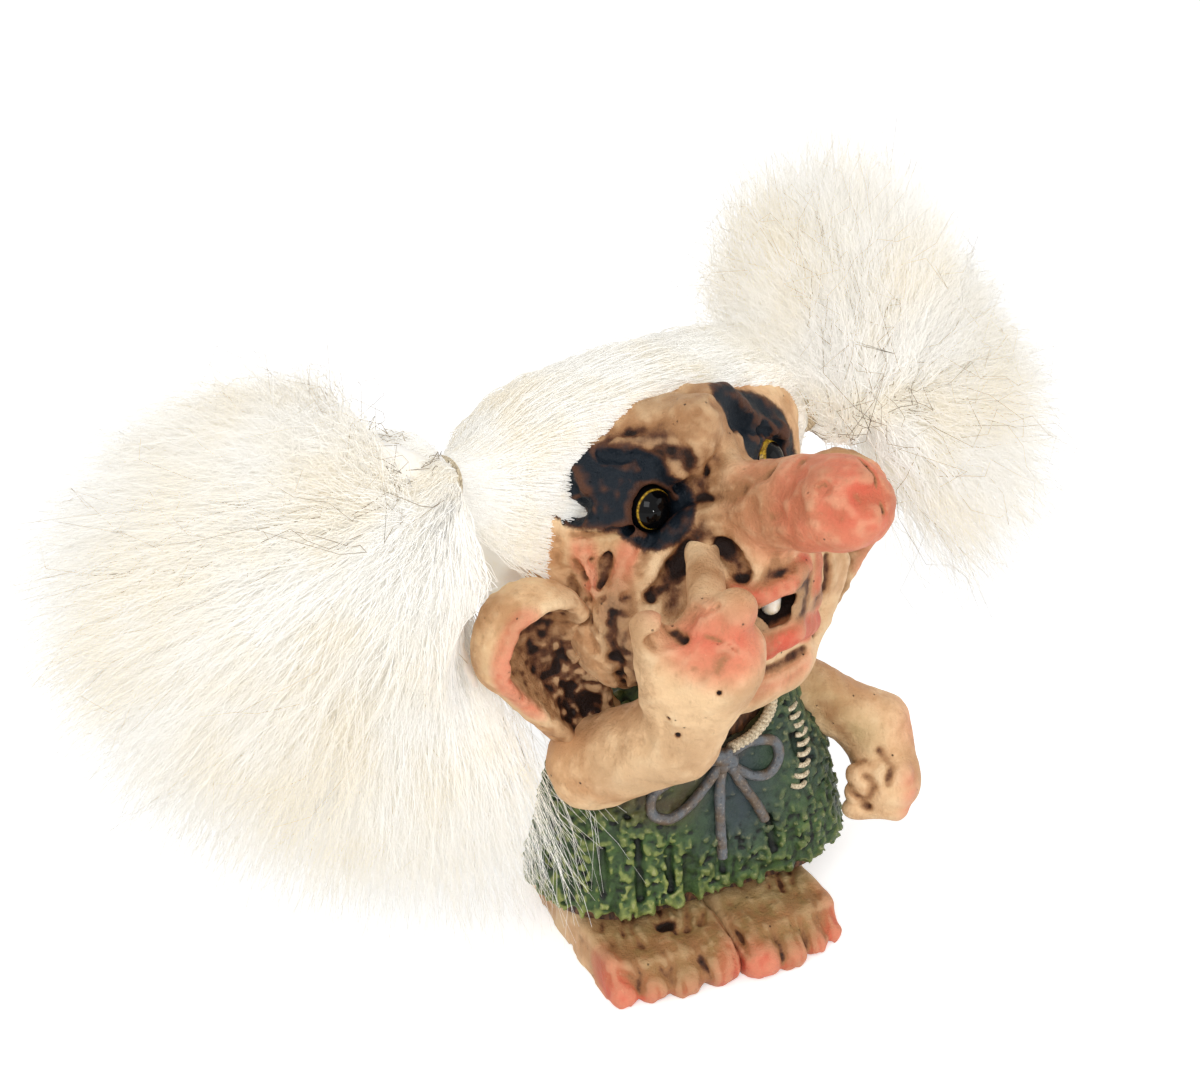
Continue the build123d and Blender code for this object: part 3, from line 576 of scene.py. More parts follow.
def pale_thread():
    """Twisted thread, dirty cream."""
    thread = Shader("pale_thread", Roughness=0.7)
    fine = thread.noise(0.5, 4, 0.7)
    colour = thread.mix(thread.range(fine, 0.35, 0.65), rgb(160, 142, 114), rgb(236, 222, 192))
    thread.put(thread.main.inputs["Base Color"], colour)
    thread.bump(fine, 0.5, 0.2)
    return thread.material


def ivory():
    """Painted teeth, patchy between white and a warm ivory."""
    tooth = Shader("ivory", Roughness=0.3)
    patchy = tooth.noise(2.5, 4)
    colour = tooth.mix(tooth.range(patchy, 0.35, 0.7), rgb(252, 246, 232), rgb(236, 216, 178))
    tooth.put(tooth.main.inputs["Base Color"], colour)
    tooth.bump(patchy, 0.3, 0.2)
    return tooth.material


def trunk_paint():
    """The chest inside the neckline, dark brown with coarse marks."""
    trunk = Shader("trunk_paint", Roughness=0.6)
    marks = trunk.noise(1.6, 5, 0.7, (1, 1, 3))
    colour = trunk.mix(trunk.range(marks, 0.35, 0.7), rgb(34, 20, 14), rgb(126, 84, 54))
    trunk.put(trunk.main.inputs["Base Color"], colour)
    trunk.bump(marks, 0.8, 0.8)
    return trunk.material


def fleece(name, pale, warm, glow=0.0):
    """White wool fibres, a little warmer here and there. The glow stands for light that passes through."""
    wool = Shader(name, Roughness=0.8, Specular_IOR_Level=0.2)
    broad = wool.noise(22, 3)
    fine = wool.noise(1.4, 3)
    tone = wool.sum((broad, 0.7), (fine, 0.3))
    colour = wool.mix(wool.range(tone, 0.42, 0.62), pale, warm)
    wool.put(wool.main.inputs["Base Color"], colour)
    if glow:
        wool.put(wool.main.inputs["Emission Color"], colour)
        wool.main.inputs["Emission Strength"].default_value = glow
    return wool.material


# Painting of clay
class Brush:
    """Collects strokes of paint on clay, each a line through places with a width."""

    layers = {"paint": ("coral", "dark", "navy"), "paint_more": ("tan", "pale", "olive")}

    def __init__(self, clay):
        self.clay = clay
        self.strokes = {}

    def stroke(self, colour, places, radius, soft=1.5, strength=1.0):
        """Paints along a line through places."""
        self.strokes.setdefault(colour, []).append((np.atleast_2d(places), radius, soft, strength))

    def trace(self, colour, pixels, radius, soft=1.5, strength=1.0):
        """Paints along pixels of the photograph."""
        self.stroke(colour, self.clay.seen(pixels), radius, soft, strength)

    def mask(self, colour, points):
        """How much of a colour each point carries."""
        amount = np.zeros(len(points))
        for places, radius, soft, strength in self.strokes.get(colour, []):
            near = near_line(points, places, radius, soft)
            amount = np.maximum(amount, strength * near) if strength > 0 else amount * (1 - near)
        return amount


def finish_clay(clay, name, nodes, material, brush, relax_turns=1):
    """Turns clay into a painted piece that stands for some of the solid model's nodes."""
    points, faces = clay.surface()
    points = relax(points, faces, relax_turns)
    piece = make_mesh(name, points, faces)
    fold = 0.5 + clay.values(points, clay.blurred(1.5)) / 1.2
    hollow = 0.5 + clay.values(points, clay.blurred(4.0)) / 4.0
    grain = 0.5 + clay.values(points, clay.blurred(0.8)) / 0.45
    set_colours(piece, "relief", np.stack([fold, hollow, grain], 1))
    for layer, colours in Brush.layers.items():
        set_colours(piece, layer, np.stack([brush.mask(colour, points) for colour in colours], 1))
    place_piece(piece, nodes, material)


def carve(clay, brush, rows):
    """Works down rows: what is done, along which pixels, with which sizes, and the paint along it."""
    works = {"groove": clay.groove, "ridge": clay.ridge, "scatter": clay.scatter, "paint": clay.seen}
    for work, pixels, sizes, paint in rows:
        line = works[work](pixels, *sizes)
        if paint:
            brush.stroke(paint[0], line, *paint[1:])


def place_piece(piece, nodes, material):
    """Hands a piece its material and its place in the object."""
    piece.data.materials.append(material)
    if nodes:
        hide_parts(*nodes)
    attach(piece, "root")


# Head
head_turn = math.radians(14)
skull_span = 13.5           # from the middle to each end of the run through the skull's round back
skull_back = 19
skull_height = 104


def head_point(out, back, up):
    """A place in the head's own frame, in the figure's frame."""
    return np.array([
        out * math.cos(head_turn) - back * math.sin(head_turn),
        out * math.sin(head_turn) + back * math.cos(head_turn),
        up,
    ])


def head_back(across, back):
    """How far back places lie in the head's own frame, from their X and Y in the figure's."""
    return -across * math.sin(head_turn) + back * math.cos(head_turn)


# Forms: places in the head's own frame, their radii, and how softly each joins the rest
skull_run = ((-skull_span, skull_back, skull_height), (skull_span, skull_back, skull_height))
skull_forms = (
    (skull_run, (26.5, 26.5), 0),
    (((0, 6, 97), (0, -14, 97)), (24, 18), 6),
    (((-21, -2, 89),), (16,), 6),
    (((22, -2, 88),), (17,), 6),
    (((-10, -13, 74), (10, -13, 74)), (12, 12), 5),
    (((0, 3, 121.5), (-28, 13, 117)), (11, 10), 5),
    (((0, 3, 121.5), (28, 13, 117)), (11, 10), 5),
)
nose_forms = (
    (((0, -2, 110), (0, -23, 118.8), (0, -44, 127.5)), (9.0, 9.8, 10.2), 5),
    (((-8.5, -11, 108),), (6.5,), 3),
    (((8.5, -11, 108),), (6.5,), 3),
)

eye_radius = 5.0
eye_gap = 0.3
eye_places = {-1: head_point(-17, -2, 115), 1: head_point(17, -2, 115)}


def eye_gaze(side):
    """The direction that an eye looks in."""
    turn = head_turn + side * math.radians(12)
    lift = math.radians(20)
    return np.array([
        math.sin(turn) * math.cos(lift), -math.cos(turn) * math.cos(lift), math.sin(lift),
    ])


def cut_skull_room(clay, forms, room, blend=0):
    """Leaves room in other clay for some of the skull's forms."""
    for points, radii, joint in forms:
        clay.cut([head_point(*point) for point in points], np.array(radii) + room, blend)


def ring_points(centre, axis, radius, count):
    """Places round a circle."""
    first = np.cross(axis, (0, 0, 1))
    first /= np.linalg.norm(first)
    second = np.cross(axis, first)
    turns = np.linspace(0, 2 * math.pi, count + 1)
    return [centre + radius * (math.cos(turn) * first + math.sin(turn) * second) for turn in turns]


# Grooves and ridges of the brow: pixels of the photograph, width, and depth or height
brow_grooves = (
    (((611, 452), (622, 460), (636, 455), (650, 460), (664, 450), (684, 452)), 1.5, 0.8),
    (((688, 456), (694, 474), (686, 494)), 1.8, 0.5),
    (((562, 500), (572, 492), (582, 500), (586, 512)), 1.6, 1.0),
    (((600, 446), (616, 434), (640, 426)), 1.4, 0.8),
    (((716, 402), (734, 406), (742, 418)), 1.4, 0.9),
)
brow_ridges = (
    (((570, 482), (588, 460), (612, 442)), 3.5, 1.4),
    (((640, 440), (658, 432), (676, 430)), 3.0, 1.0),
    (((690, 432), (704, 424), (716, 424)), 3.0, 1.1),
    (((730, 440), (726, 456), (734, 470)), 2.6, 1.2),
    (((745, 410), (764, 420), (778, 438)), 3.0, 1.2),
    (((672, 398), (700, 394), (722, 396)), 3.0, 0.9),
)
over_eye = ((600, 452), (630, 448), (660, 446), (686, 462), (690, 484))
forehead = ((590, 440), (640, 412), (700, 404), (712, 440), (705, 480))
temple = ((560, 480), (566, 505), (580, 515))
# Random marks on the brow: pixels, spread, count, radius, depth and seed
brow_marks = (
    (over_eye, 7, 46, 1.2, 0.7, 101),
    (over_eye, 6, 16, 1.8, -0.8, 102),
    (forehead, 11, 24, 1.2, 0.5, 103),
    (forehead, 12, 16, 3.4, -0.9, 104),
    (temple, 7, 24, 1.2, 0.7, 105),
    (((740, 415), (775, 440), (795, 458)), 7, 26, 1.3, 0.7, 106),
)
# Dark blue round the eyes: pixels and width
navy_patches = (
    (((556, 492), (566, 478), (590, 466)), 4.5),
    (((562, 510), (590, 512), (620, 514), (645, 512)), 3.5),
    (((562, 496), (590, 492), (615, 490)), 4.5),
    (((600, 466), (630, 464), (656, 474), (666, 494), (660, 508)), 4.0),
    (((738, 400), (757, 412), (776, 436)), 7.0),
    (((742, 425), (756, 440), (776, 452)), 6.0),
)
# Other paint on the brow: colour, pixels, width, soft edge and strength
brow_paint = (
    ("dark", over_eye[:4], 4.5, 3, 1.05),
    ("dark", ((650, 470), (676, 500), (700, 505)), 2.5, 3, 0.9),
    ("dark", ((690, 498), (720, 494), (745, 484)), 0.8, 2.5, 0.8),
    ("dark", ((684, 462), (692, 480), (704, 490)), 3, 3, 0.85),
    ("dark", ((700, 420), (716, 440), (722, 462)), 1.5, 3, 0.6),
    ("dark", ((552, 500), (562, 478), (590, 456)), 2, 3, 0.9),
    ("tan", ((580, 450), (640, 412), (690, 402), (730, 402)), 11, 5, 0.7),
    ("tan", ((700, 430), (715, 455), (705, 480)), 6, 4, 0.5),
)
# Rows for carve: sizes are radii, depth or height, and blend. A scatter's are spread, count, radius,
# depth and seed. Paint is a colour, width, soft edge and strength.
cheek_rows = (
    ("groove", ((655, 520), (656, 534), (650, 552), (644, 574)), ((1.0, 1.3, 1.3, 1.0), 1.3, 1.0),
     ("dark", 0.6, 2.0, 0.9)),
    ("ridge", ((583, 546), (585, 566), (592, 588)), (1.9, 1.1), ("coral", 1.6, 2.6, 0.85)),
    ("ridge", ((630, 546), (622, 566), (617, 590), (612, 612)), (2.0, 1.2), ("coral", 1.6, 2.6, 0.85)),
    ("groove", ((609, 554), (603, 568), (601, 584)), ((0.9, 1.5, 0.9), 1.8, 0.8), ("dark", 0.8, 1.6, 0.9)),
    ("groove", ((592, 560), (594, 576), (600, 592)), (0.9, 0.6, 0.8), ("dark", 0.3, 1.2, 0.5)),
    ("groove", ((570, 535), (600, 534), (625, 530), (645, 523)), (1.2, 0.8), None),
    ("paint", ((590, 533), (620, 530), (650, 524)), (), ("olive", 2.5, 2, 0.6)),
    ("paint", ((625, 580), (628, 600), (622, 620)), (), ("tan", 3, 3, 0.6)),
    ("paint", ((560, 560), (558, 600), (575, 640)), (), ("tan", 4, 4, 0.4)),
    # Painted shade: the dark in the next two rows stands for the shade between the cheek and the raised hand.
    ("groove", ((612, 615), (608, 640), (618, 668), (628, 690)), (1.8, 1.4, 1.0), ("dark", 1.5, 2.5, 0.8)),
    ("paint", ((612, 605), (620, 640), (636, 668), (644, 700), (634, 740)), (), ("dark", 4.0, 4.0, 1.1)),
    ("scatter", ((565, 560), (575, 600), (590, 640)), (9, 22, 1.3, 0.45, 112), None),
    ("ridge", ((818, 556), (817, 585), (812, 622)), (1.9, 1.0), ("coral", 2.2, 1.6)),
    ("groove", ((829, 556), (827, 590), (816, 632)), (1.2, 1.2), ("dark", 0.6, 1.2, 0.7)),
    ("ridge", ((845, 560), (836, 597), (820, 634)), (2.4, 1.0), None),
)
nose_rows = (
    # Painted shadow: the dark along this groove stands for the shadow between the brow and the top of the
    # nose.
    ("groove", ((674, 510), (688, 501), (706, 498), (728, 499), (752, 480), (772, 468)), (1.5, 0.7, 1.0),
     ("dark", 0.5, 2.5, 0.55)),
    ("ridge", ((652, 582), (660, 556), (674, 532), (694, 518), (716, 520)), (3.4, 2.2, 1.5), None),
    ("ridge", ((744, 545), (752, 562), (750, 578)), (2.6, 1.2, 2), None),
    # Painted shadow: the dark in the next three rows stands for the shadow in the hollows on both sides of
    # the finger and round its tip.
    ("groove", ((652, 596), (664, 584), (676, 566), (686, 550)), ((2.0, 2.4, 2.4, 2.0), 1.9, 1.4),
     ("dark", 1.6, 3.5, 1.0)),
    ("groove", ((721, 546), (732, 558), (740, 574)), ((2.4, 2.8, 2.2), 3.0, 1.4), ("dark", 2.0, 3.5, 1.0)),
    ("paint", ((672, 606), (678, 584), (684, 560), (692, 540), (705, 528), (719, 535), (724, 552)), (),
     ("dark", 2.0, 2.5, 1.25)),
    ("groove", ((818, 486), (823, 483), (829, 487), (827, 492), (821, 492), (818, 486)), (0.8, 0.5),
     ("tan", 0.5, 0.9, 0.5)),
    ("groove", ((860, 459), (874, 474), (881, 497), (883, 512)), (0.8, 0.7), ("dark", 0.3, 0.6, 0.5)),
    ("scatter", ((730, 515), (770, 500), (830, 500), (870, 520)), (16, 16, 2.2, 0.3, 121), None),
    ("paint", ((813, 551), (840, 553), (860, 547)), (), ("pale", 1.2, 1.5)),
    ("paint", ((670, 530), (690, 515), (730, 515), (760, 500), (765, 525)), (), ("tan", 6, 6, 0.6)),
)
chin_rows = (
    ("paint", ((758, 640), (775, 630), (796, 618)), (), ("dark", 0.6, 2.0, 0.7)),
    ("groove", ((747, 680), (781, 667), (806, 650)), ((1.3, 1.6, 1.3), 1.5, 1.2), ("dark", 0.4, 2.2, 0.8)),
    ("paint", ((740, 722), (775, 706), (800, 684)), (), ("pale", 4, 4)),
    ("paint", ((755, 690), (785, 680), (807, 664)), (), ("coral", 2, 4, 0.45)),
    ("paint", ((750, 582), (772, 574), (796, 570)), (), ("dark", 1.2, 2.5, 0.9)),
)


def carve_eyes(clay, brush):
    """Lids round each glass eye, and the socket that holds it."""
    for side in (-1, 1):
        gaze = eye_gaze(side)
        place = eye_places[side]
        clay.add(ring_points(place - gaze * 1.5, gaze, eye_radius + 3.2, 24), 2.4, 2.5)
        clay.add(ring_points(place + gaze * 1.2, gaze, eye_radius + 1.0, 20), 1.6, 1.0)
        clay.cut([place - gaze, place + gaze * 12], eye_radius + eye_gap, 0.4)
        brush.stroke("navy", [place - gaze * 3, place + gaze * 3], 8.6, 2.0, 1.2)


def carve_brow(clay, brush):
    """Carved marks and lumps over the eyes."""
    for pixels, radius, height in brow_ridges:
        clay.ridge(pixels, radius, height, 2)
    for row in brow_marks:
        clay.scatter(*row)
    for pixels, radius, depth in brow_grooves:
        line = clay.groove(pixels, radius, depth, 1.4)
        brush.stroke("dark", line, 0.8, 2.0, 0.6)
    for pixels, radius in navy_patches:
        brush.trace("navy", pixels, radius, 2.2, 1.1)
    brush.stroke("navy", [head_point(0, -14, 113.5), head_point(0, -44, 127)], 10.6, 0.8, -1)
    brush.stroke("navy", [head_point(26, -8, 94), head_point(14, -30, 96)], 11, 1.5, -1)
    for row in brow_paint:
        brush.trace(*row)


def carve_nose(clay, brush):
    """The nostril's wing, the hollows round the finger with painted shadow in them, and marks on the ball."""
    carve(clay, brush, nose_rows)
    brush.stroke("coral", [head_point(0, -46, 128.5), head_point(0, -38, 125)], 10.5, 4.5)
    brush.stroke("coral", [head_point(0, -34, 123.4), head_point(0, -26, 120)], 10, 7, 0.6)


def carve_mouth(clay, brush):
    """Open mouth between thick lips, with a crease under them."""
    upper = clay.ridge(((738, 594), (763, 597), (787, 584), (804, 566)), (2.0, 2.4, 2.4, 1.8), 2.0, 1.0)
    lower = clay.ridge(((755, 655), (772, 641), (790, 631), (808, 622)), (3.4, 4.0, 4.0, 3.0), 2.8, 1.2)
    for pixels, radii in (
        (((756, 613), (774, 610), (789, 600), (800, 588), (806, 577)), (2.2, 3.0, 3.0, 2.2, 1.6)),
        (((768, 628), (786, 617), (798, 607)), (2.4, 3.0, 2.2)),
    ):
        clay.groove(pixels, radii, 5.5, 0.8)
        brush.trace("dark", pixels, 2.8, 2.0, 1.5)
    brush.stroke("dark", [head_point(out, -22, 97) for out in (-10, 0, 8)], 7.5, 2.0, 1.5)
    for line, width in ((upper, 2.2), (lower, 3.8)):
        brush.stroke("dark", line, width, 1.2, -1)
        brush.stroke("coral", line, width + 0.6, 1.4)
    carve(clay, brush, chin_rows)


def make_head(material):
    """Skull, face, nose, lips and jaw in one casting."""
    clay = Clay((-50, -64, 58), (58, 48, 140), 0.62)
    brush = Brush(clay)
    for points, radii, blend in skull_forms + nose_forms:
        clay.add([head_point(*point) for point in points], radii, blend)
    carve_eyes(clay, brush)
    carve_brow(clay, brush)
    carve(clay, brush, cheek_rows)
    carve_nose(clay, brush)
    carve_mouth(clay, brush)
    clay.roughen(0.55, 7, 11)
    clay.roughen(0.3, 3.0, 12)
    clay.roughen(0.16, 1.4, 13)
    brow = clay.seen(((570, 500), (600, 450), (680, 410), (750, 410), (795, 450)))
    clay.roughen(0.7, 4.2, 14, 4.0, brow, 16)
    hollow = clay.seen(((606, 610), (622, 650), (636, 690), (630, 730)))
    clay.roughen(0.9, 2.4, 15, 4.0, hollow, 8)
    nodes = ("head", "nose", "upper_lip", "lower_lip")
    finish_clay(clay, "head_sculpt", nodes, material, brush)


# Ears
ear_rim = 3.5
ear_thickness = 15
ear_back_set = 2
ear_top_out = 46.5
ear_top_height = 90.5
ear_top_radius = 14
ear_lobe_out = 33
ear_lobe_height = 65
ear_lobe_radius = 8


def ear_ends(side, back=ear_back_set):
    """The middles of an ear's broad top and of its lobe."""
    top = head_point(side * ear_top_out, back, ear_top_height)
    lobe = head_point(side * ear_lobe_out, back, ear_lobe_height)
    return top, lobe


def cut_ear_room(clay, side, radii, blend):
    """Leaves room in other clay for an ear."""
    clay.cut([head_point(side * 45, 2, 93), head_point(side * 32, 2, 66)], radii, blend)


def make_ear(side, name, material):
    """A thick cup, broad at its top, with a dark rough inside."""
    top, lobe = ear_ends(side)
    clay = Clay(np.minimum(top, lobe) - (18, 18, 12), np.maximum(top, lobe) + 18, 0.6)
    brush = Brush(clay)
    clay.add([top, lobe], (ear_top_radius, ear_lobe_radius))
    grid = clay.whole()
    slab = np.abs(head_back(grid[0], grid[1]) - ear_back_set) - ear_thickness / 2
    clay.field = -soft_min(-clay.field, -slab, 2.5)
    front = ear_ends(side, ear_back_set - ear_thickness / 2)
    clay.cut(front, (ear_top_radius - ear_rim, ear_lobe_radius - ear_rim), 2.0)
    clay.cut([head_point(side * 34, -8, 88), head_point(side * 30, -8, 76)], (8, 5), 2.0)
    cut_skull_room(clay, skull_forms[:4], -1.0)
    inner = [head_point(side * 46, -2, 91), head_point(side * 38, -2, 79), head_point(side * 33, -2, 67)]
    brush.stroke("dark", inner, 8.5, 3.5, 0.9)
    clay.roughen(0.9, 3.0, 27 + side, 4.0, inner, 9)
    clay.roughen(0.5, 1.5, 28 + side, 4.0, inner, 9)
    rim = [head_point(side * 54, -6, 101), head_point(side * 60, -6, 90), head_point(side * 52, -6, 76)]
    brush.stroke("coral", rim, 3.5, 3.0, 0.9)
    clay.roughen(0.4, 6, 21 + side)
    clay.roughen(0.35, 1.6, 24 + side)
    finish_clay(clay, "ear_sculpt_" + name, ("ear_" + name,), material, brush)


# Arms and hands
right_elbow = (-32, -12, 56)
right_wrist = (-21, -30, 71)
right_arm_forms = (
    (((-24, 3, 56), right_elbow), (8.9, 8.9), 0),
    ((right_elbow, right_wrist), (10.5, 10), 3),
    ((right_wrist, (-15.5, -36, 93)), (8.5, 11.5), 4),
    (((-25, -34, 86), (-29.5, -33, 102.5)), (6.2, 4.0), 4),
    (((-12.5, -39, 106),), (5,), 3),
    (((-17, -36, 103), head_point(-11.9, -14.6, 107)), (4.6, 3.9), 2.5),
)
right_hand_rows = (
    ("groove", ((660, 612), (668, 626), (672, 640)), ((1.2, 1.5, 1.0), 1.4), None),
    ("groove", ((690, 606), (704, 612), (718, 606)), (1.0, 0.7), None),
    ("groove", ((706, 636), (722, 642), (736, 651)), (0.5, 0.4), ("tan", 0.3, 0.6, 0.8)),
    ("paint", ((726, 656), (720, 664), (716, 670)), (), ("tan", 0.9, 1.4, 0.9)),
    ("paint", ((708, 674), (704, 680)), (), ("tan", 0.9, 1.4, 0.9)),
    ("scatter", ((690, 640), (720, 660), (700, 700), (660, 730)), (16, 14, 2.4, 0.3, 141), None),
)
right_hand_pits = ((719, 693), (668, 719), (678, 735))
right_arm_rows = (
    ("paint", ((700, 640), (725, 650), (740, 640)), (), ("coral", 6, 6, 0.75)),
    ("paint", ((726, 656), (720, 664), (716, 672)), (), ("dark", 0.4, 1.6, 0.55)),
    ("paint", ((660, 612),), (), ("coral", 3, 4, 0.5)),
    ("paint", ((640, 770), (680, 740), (700, 700)), (), ("pale", 10, 6)),
    # Painted shade along the arm's edge next to the cheek.
    ("paint", ((636, 640), (646, 680), (648, 715), (620, 750)), (), ("dark", 0.8, 3.5, 0.55)),
    ("groove", ((664, 618), (674, 632), (684, 640)), (1.4, 1.2, 1.0), ("dark", 0.4, 2.2, 0.8)),
    ("paint", ((690, 600), (702, 560)), (), ("tan", 3, 3, 0.5)),
    ("paint", ((640, 625), (650, 650)), (), ("tan", 3, 3, 0.45)),
    ("paint", ((600, 770), (640, 785), (690, 765)), (), ("tan", 4, 5, 0.5)),
)
left_elbow = (46, -8, 40)
finger_gap = 4.8
fist_height = 29
left_arm_rows = (
    ("groove", ((864, 772), (874, 786), (868, 798)), (1.3, 0.7, 1.0), ("dark", 0.3, 2.2, 0.7)),
    ("groove", ((850, 790), (862, 800), (868, 808)), (1.3, 0.7, 1.0), ("dark", 0.3, 2.2, 0.7)),
    ("groove", ((880, 752), (890, 766), (888, 784)), (1.3, 0.7, 1.0), ("dark", 0.3, 2.2, 0.7)),
    ("paint", ((815, 690), (840, 712), (858, 735)), (), ("olive", 4, 4, 0.8)),
    # Painted shade along the arm's inner edge, next to the tunic.
    ("paint", ((822, 700), (840, 728), (852, 750)), (), ("dark", 1.0, 3.0, 0.7)),
    ("paint", ((850, 765), (846, 790)), (), ("dark", 1.5, 3.0, 0.7)),
)


def make_right_arm(material):
    """The raised arm, its hand and the finger in the nostril."""
    clay = Clay((-50, -60, 40), (12, 18, 122), 0.6)
    brush = Brush(clay)
    for points, radii, blend in right_arm_forms:
        clay.add(points, radii, blend)
    carve(clay, brush, right_hand_rows)
    for pixel in right_hand_pits:
        pit = clay.see(pixel)
        clay.cut([pit], 0.8, 0)
        brush.stroke("dark", pit, 0.5, 0.4, 1.0)
    carve(clay, brush, right_arm_rows)
    clay.roughen(0.5, 7, 31)
    clay.roughen(0.25, 2.6, 32)
    nodes = ("arm_right", "hand_right", "finger_index_right")
    finish_clay(clay, "right_arm_sculpt", nodes, material, brush)


def make_left_arm(material):
    """The arm akimbo and its loose fist."""
    clay = Clay((12, -34, 12), (62, 18, 72), 0.6)
    brush = Brush(clay)
    clay.add([(24, 3, 56), left_elbow], (6.8, 8))
    clay.add([left_elbow, (45, -16, fist_height)], (7.6, 8), 4)
    for index in range(3):
        level = fist_height + (index - 1) * finger_gap
        clay.add([(45, -20, level), (36, -16, level)], (3.4, 2.9), 1.2)
        brush.stroke("coral", [(47, -23, level)], 2.5, 3, 0.5)
    brush.stroke("coral", [(50, -10, 40)], 5, 5, 0.5)
    carve(clay, brush, left_arm_rows)
    clay.roughen(0.5, 6, 41)
    clay.roughen(0.25, 2.6, 42)
    finish_clay(clay, "left_arm_sculpt", ("arm_left", "hand_left"), material, brush)


# Tunic
bell_levels = (12.5, 38, 58, 66)
bell_half_widths = (41, 35.5, 26, 17)
bell_half_depths = (21, 18.5, 15.5, 13)
bell_back_set = 3
tunic_wall = 3
tunic_low = 14
tunic_top = 66
leaf_count = 3200
slit_count = 22
# Slits up from the hem that the photograph shows
hem_slits = (
    ((639, 842), (640, 870), (641, 900)),
    ((669, 850), (672, 890)),
    ((687, 860), (689, 900)),
    ((600, 850), (604, 896)),
    ((722, 826), (724, 870)),
    ((768, 818), (774, 850)),
)


def bell_distance(grid):
    """Distance from the tunic's outside, as if it went on up and down."""
    half_width = np.interp(grid[2], bell_levels, bell_half_widths)
    half_depth = np.interp(grid[2], bell_levels, bell_half_depths)
    beyond = np.maximum(np.abs(grid[0]) - (half_width - half_depth), 0)
    return (np.hypot(beyond, grid[1] - bell_back_set) - half_depth) * 0.95


def bell_place(share, height):
    """A place on the tunic at a share of the way round, and the way out from it there."""
    half_width = np.interp(height, bell_levels, bell_half_widths)
    radius = np.interp(height, bell_levels, bell_half_depths)
    flat = 2 * (half_width - radius)
    way = (share % 1) * (2 * flat + 2 * math.pi * radius)
    for side in (-1, 1):
        if way < flat:
            place = np.array([side * (way - flat / 2), bell_back_set + side * radius, height])
            return place, np.array([0, side, 0])
        way -= flat
        if way < math.pi * radius:
            turn = way / radius
            out = np.array([side * math.sin(turn), side * math.cos(turn), 0])
            return np.array([side * flat / 2, bell_back_set, height]) + radius * out, out
        way -= math.pi * radius
    return bell_place(0, height)


def bell_front(out, up, lift=0.0):
    """A place on the tunic's front."""
    half_width = np.interp(up, bell_levels, bell_half_widths)
    half_depth = np.interp(up, bell_levels, bell_half_depths) + lift
    beyond = max(abs(out) - (half_width - half_depth), 0)
    back = math.sqrt(max(half_depth ** 2 - beyond ** 2, 0))
    return np.array([out, bell_back_set - back, up])


def add_leaves(clay, random):
    """Torn leaves all over the tunic, fewer and flatter on its smooth front."""
    for index in range(leaf_count):
        share = random.random()
        height = 13.5 + 49 * random.random() ** 1.2
        place, out = bell_place(share, height)
        smooth = place[1] < 0 and abs(place[0] - 1) < 14 and height > 30
        if smooth and random.random() < 0.7:
            continue
        side = np.cross(out, (0, 0, 1))
        turn = random.normal(0, 0.9)
        along = side * math.sin(turn) - np.array([0, 0, 1]) * math.cos(turn)
        size = random.uniform(0.55, 1.1) * (0.6 if smooth else 1)
        lift = random.uniform(-0.3, 0.75) * (0.5 if smooth else 1)
        clay.add(
            [place - along * 1.2 * size - out * 0.9, place + along * 0.8 * size + out * lift],
            (1.3 * size, 0.8 * size), 0.1,
        )
        if random.random() < 0.35:
            pit = place + along * 2.0 * size + out * 0.5
            clay.cut([pit, pit + side * random.uniform(-1.4, 1.4)], random.uniform(0.5, 0.9), 0.15)


def cut_slits(clay, brush, random):
    """Slits up from the hem, all round and where the photograph shows them."""
    for share in random.random(slit_count):
        top = random.uniform(20, 36)
        low_place, out = bell_place(share, 10)
        high_place, out = bell_place(share + random.normal(0, 0.01), top)
        clay.cut([low_place + out * 0.8, high_place + out * 1.0], (random.uniform(0.8, 1.3), 0.5), 0.8)
    for pixels in hem_slits:
        line = clay.groove(pixels, 1.1, 1.5, 0.8)
        brush.stroke("dark", line, 0.6, 1.4, 0.8)


def open_neck(clay, brush):
    """The neckline, room for the head, and the slot at the left armhole."""
    clay.cut([head_point(0, -12, 66), (0, -17, 63)], 13.5, 0.8)
    clay.cut([(0, 4, 68), (0, 4, 80)], 11, 0.5)
    cut_skull_room(clay, skull_forms[:5], 0.4)
    slot = clay.groove(((796, 736), (803, 748), (808, 758)), (1.4, 2.2, 1.4), 2.2)
    brush.stroke("dark", slot, 2.0, 1.0, 1.2)


def make_tunic(material):
    """The moulded garment, all over torn leaves, with a ragged hem."""
    clay = Clay((-47, -26, 7), (47, 30, 68), 0.56)
    brush = Brush(clay)
    grid = clay.whole()
    outside = bell_distance(grid)
    shell = np.maximum(outside, -(outside + tunic_wall))
    ends = np.maximum(tunic_low - grid[2], grid[2] - tunic_top)
    clay.field = np.maximum(shell, ends).astype(np.float32)
    random = np.random.default_rng(51)
    add_leaves(clay, random)
    cut_slits(clay, brush, random)
    open_neck(clay, brush)
    brush.stroke("coral", [(-38, -12, 20), (-20, -18, 18)], 14, 10)
    brush.stroke("navy", [(2, -18, 50), (4, -20, 34)], 10, 6)
    brush.stroke("navy", [(20, -16, 50), (26, -12, 40)], 9, 8, 0.6)
    brush.stroke("tan", [(-30, -14, 46), (-12, -16, 40), (-6, -16, 52)], 4, 4, 0.8)
    brush.stroke("tan", [bell_front(10, 56), bell_front(2, 49), bell_front(-8, 56)], 2, 2, 0.8)
    hem = 11.2 + 1.6 * noise(grid, (5, 5, 50), 54)
    clay.field = np.maximum(clay.field, hem - grid[2]).astype(np.float32)
    clay.roughen(0.3, 2.2, 53)
    finish_clay(clay, "tunic_sculpt", ("tunic",), material, brush, 0)


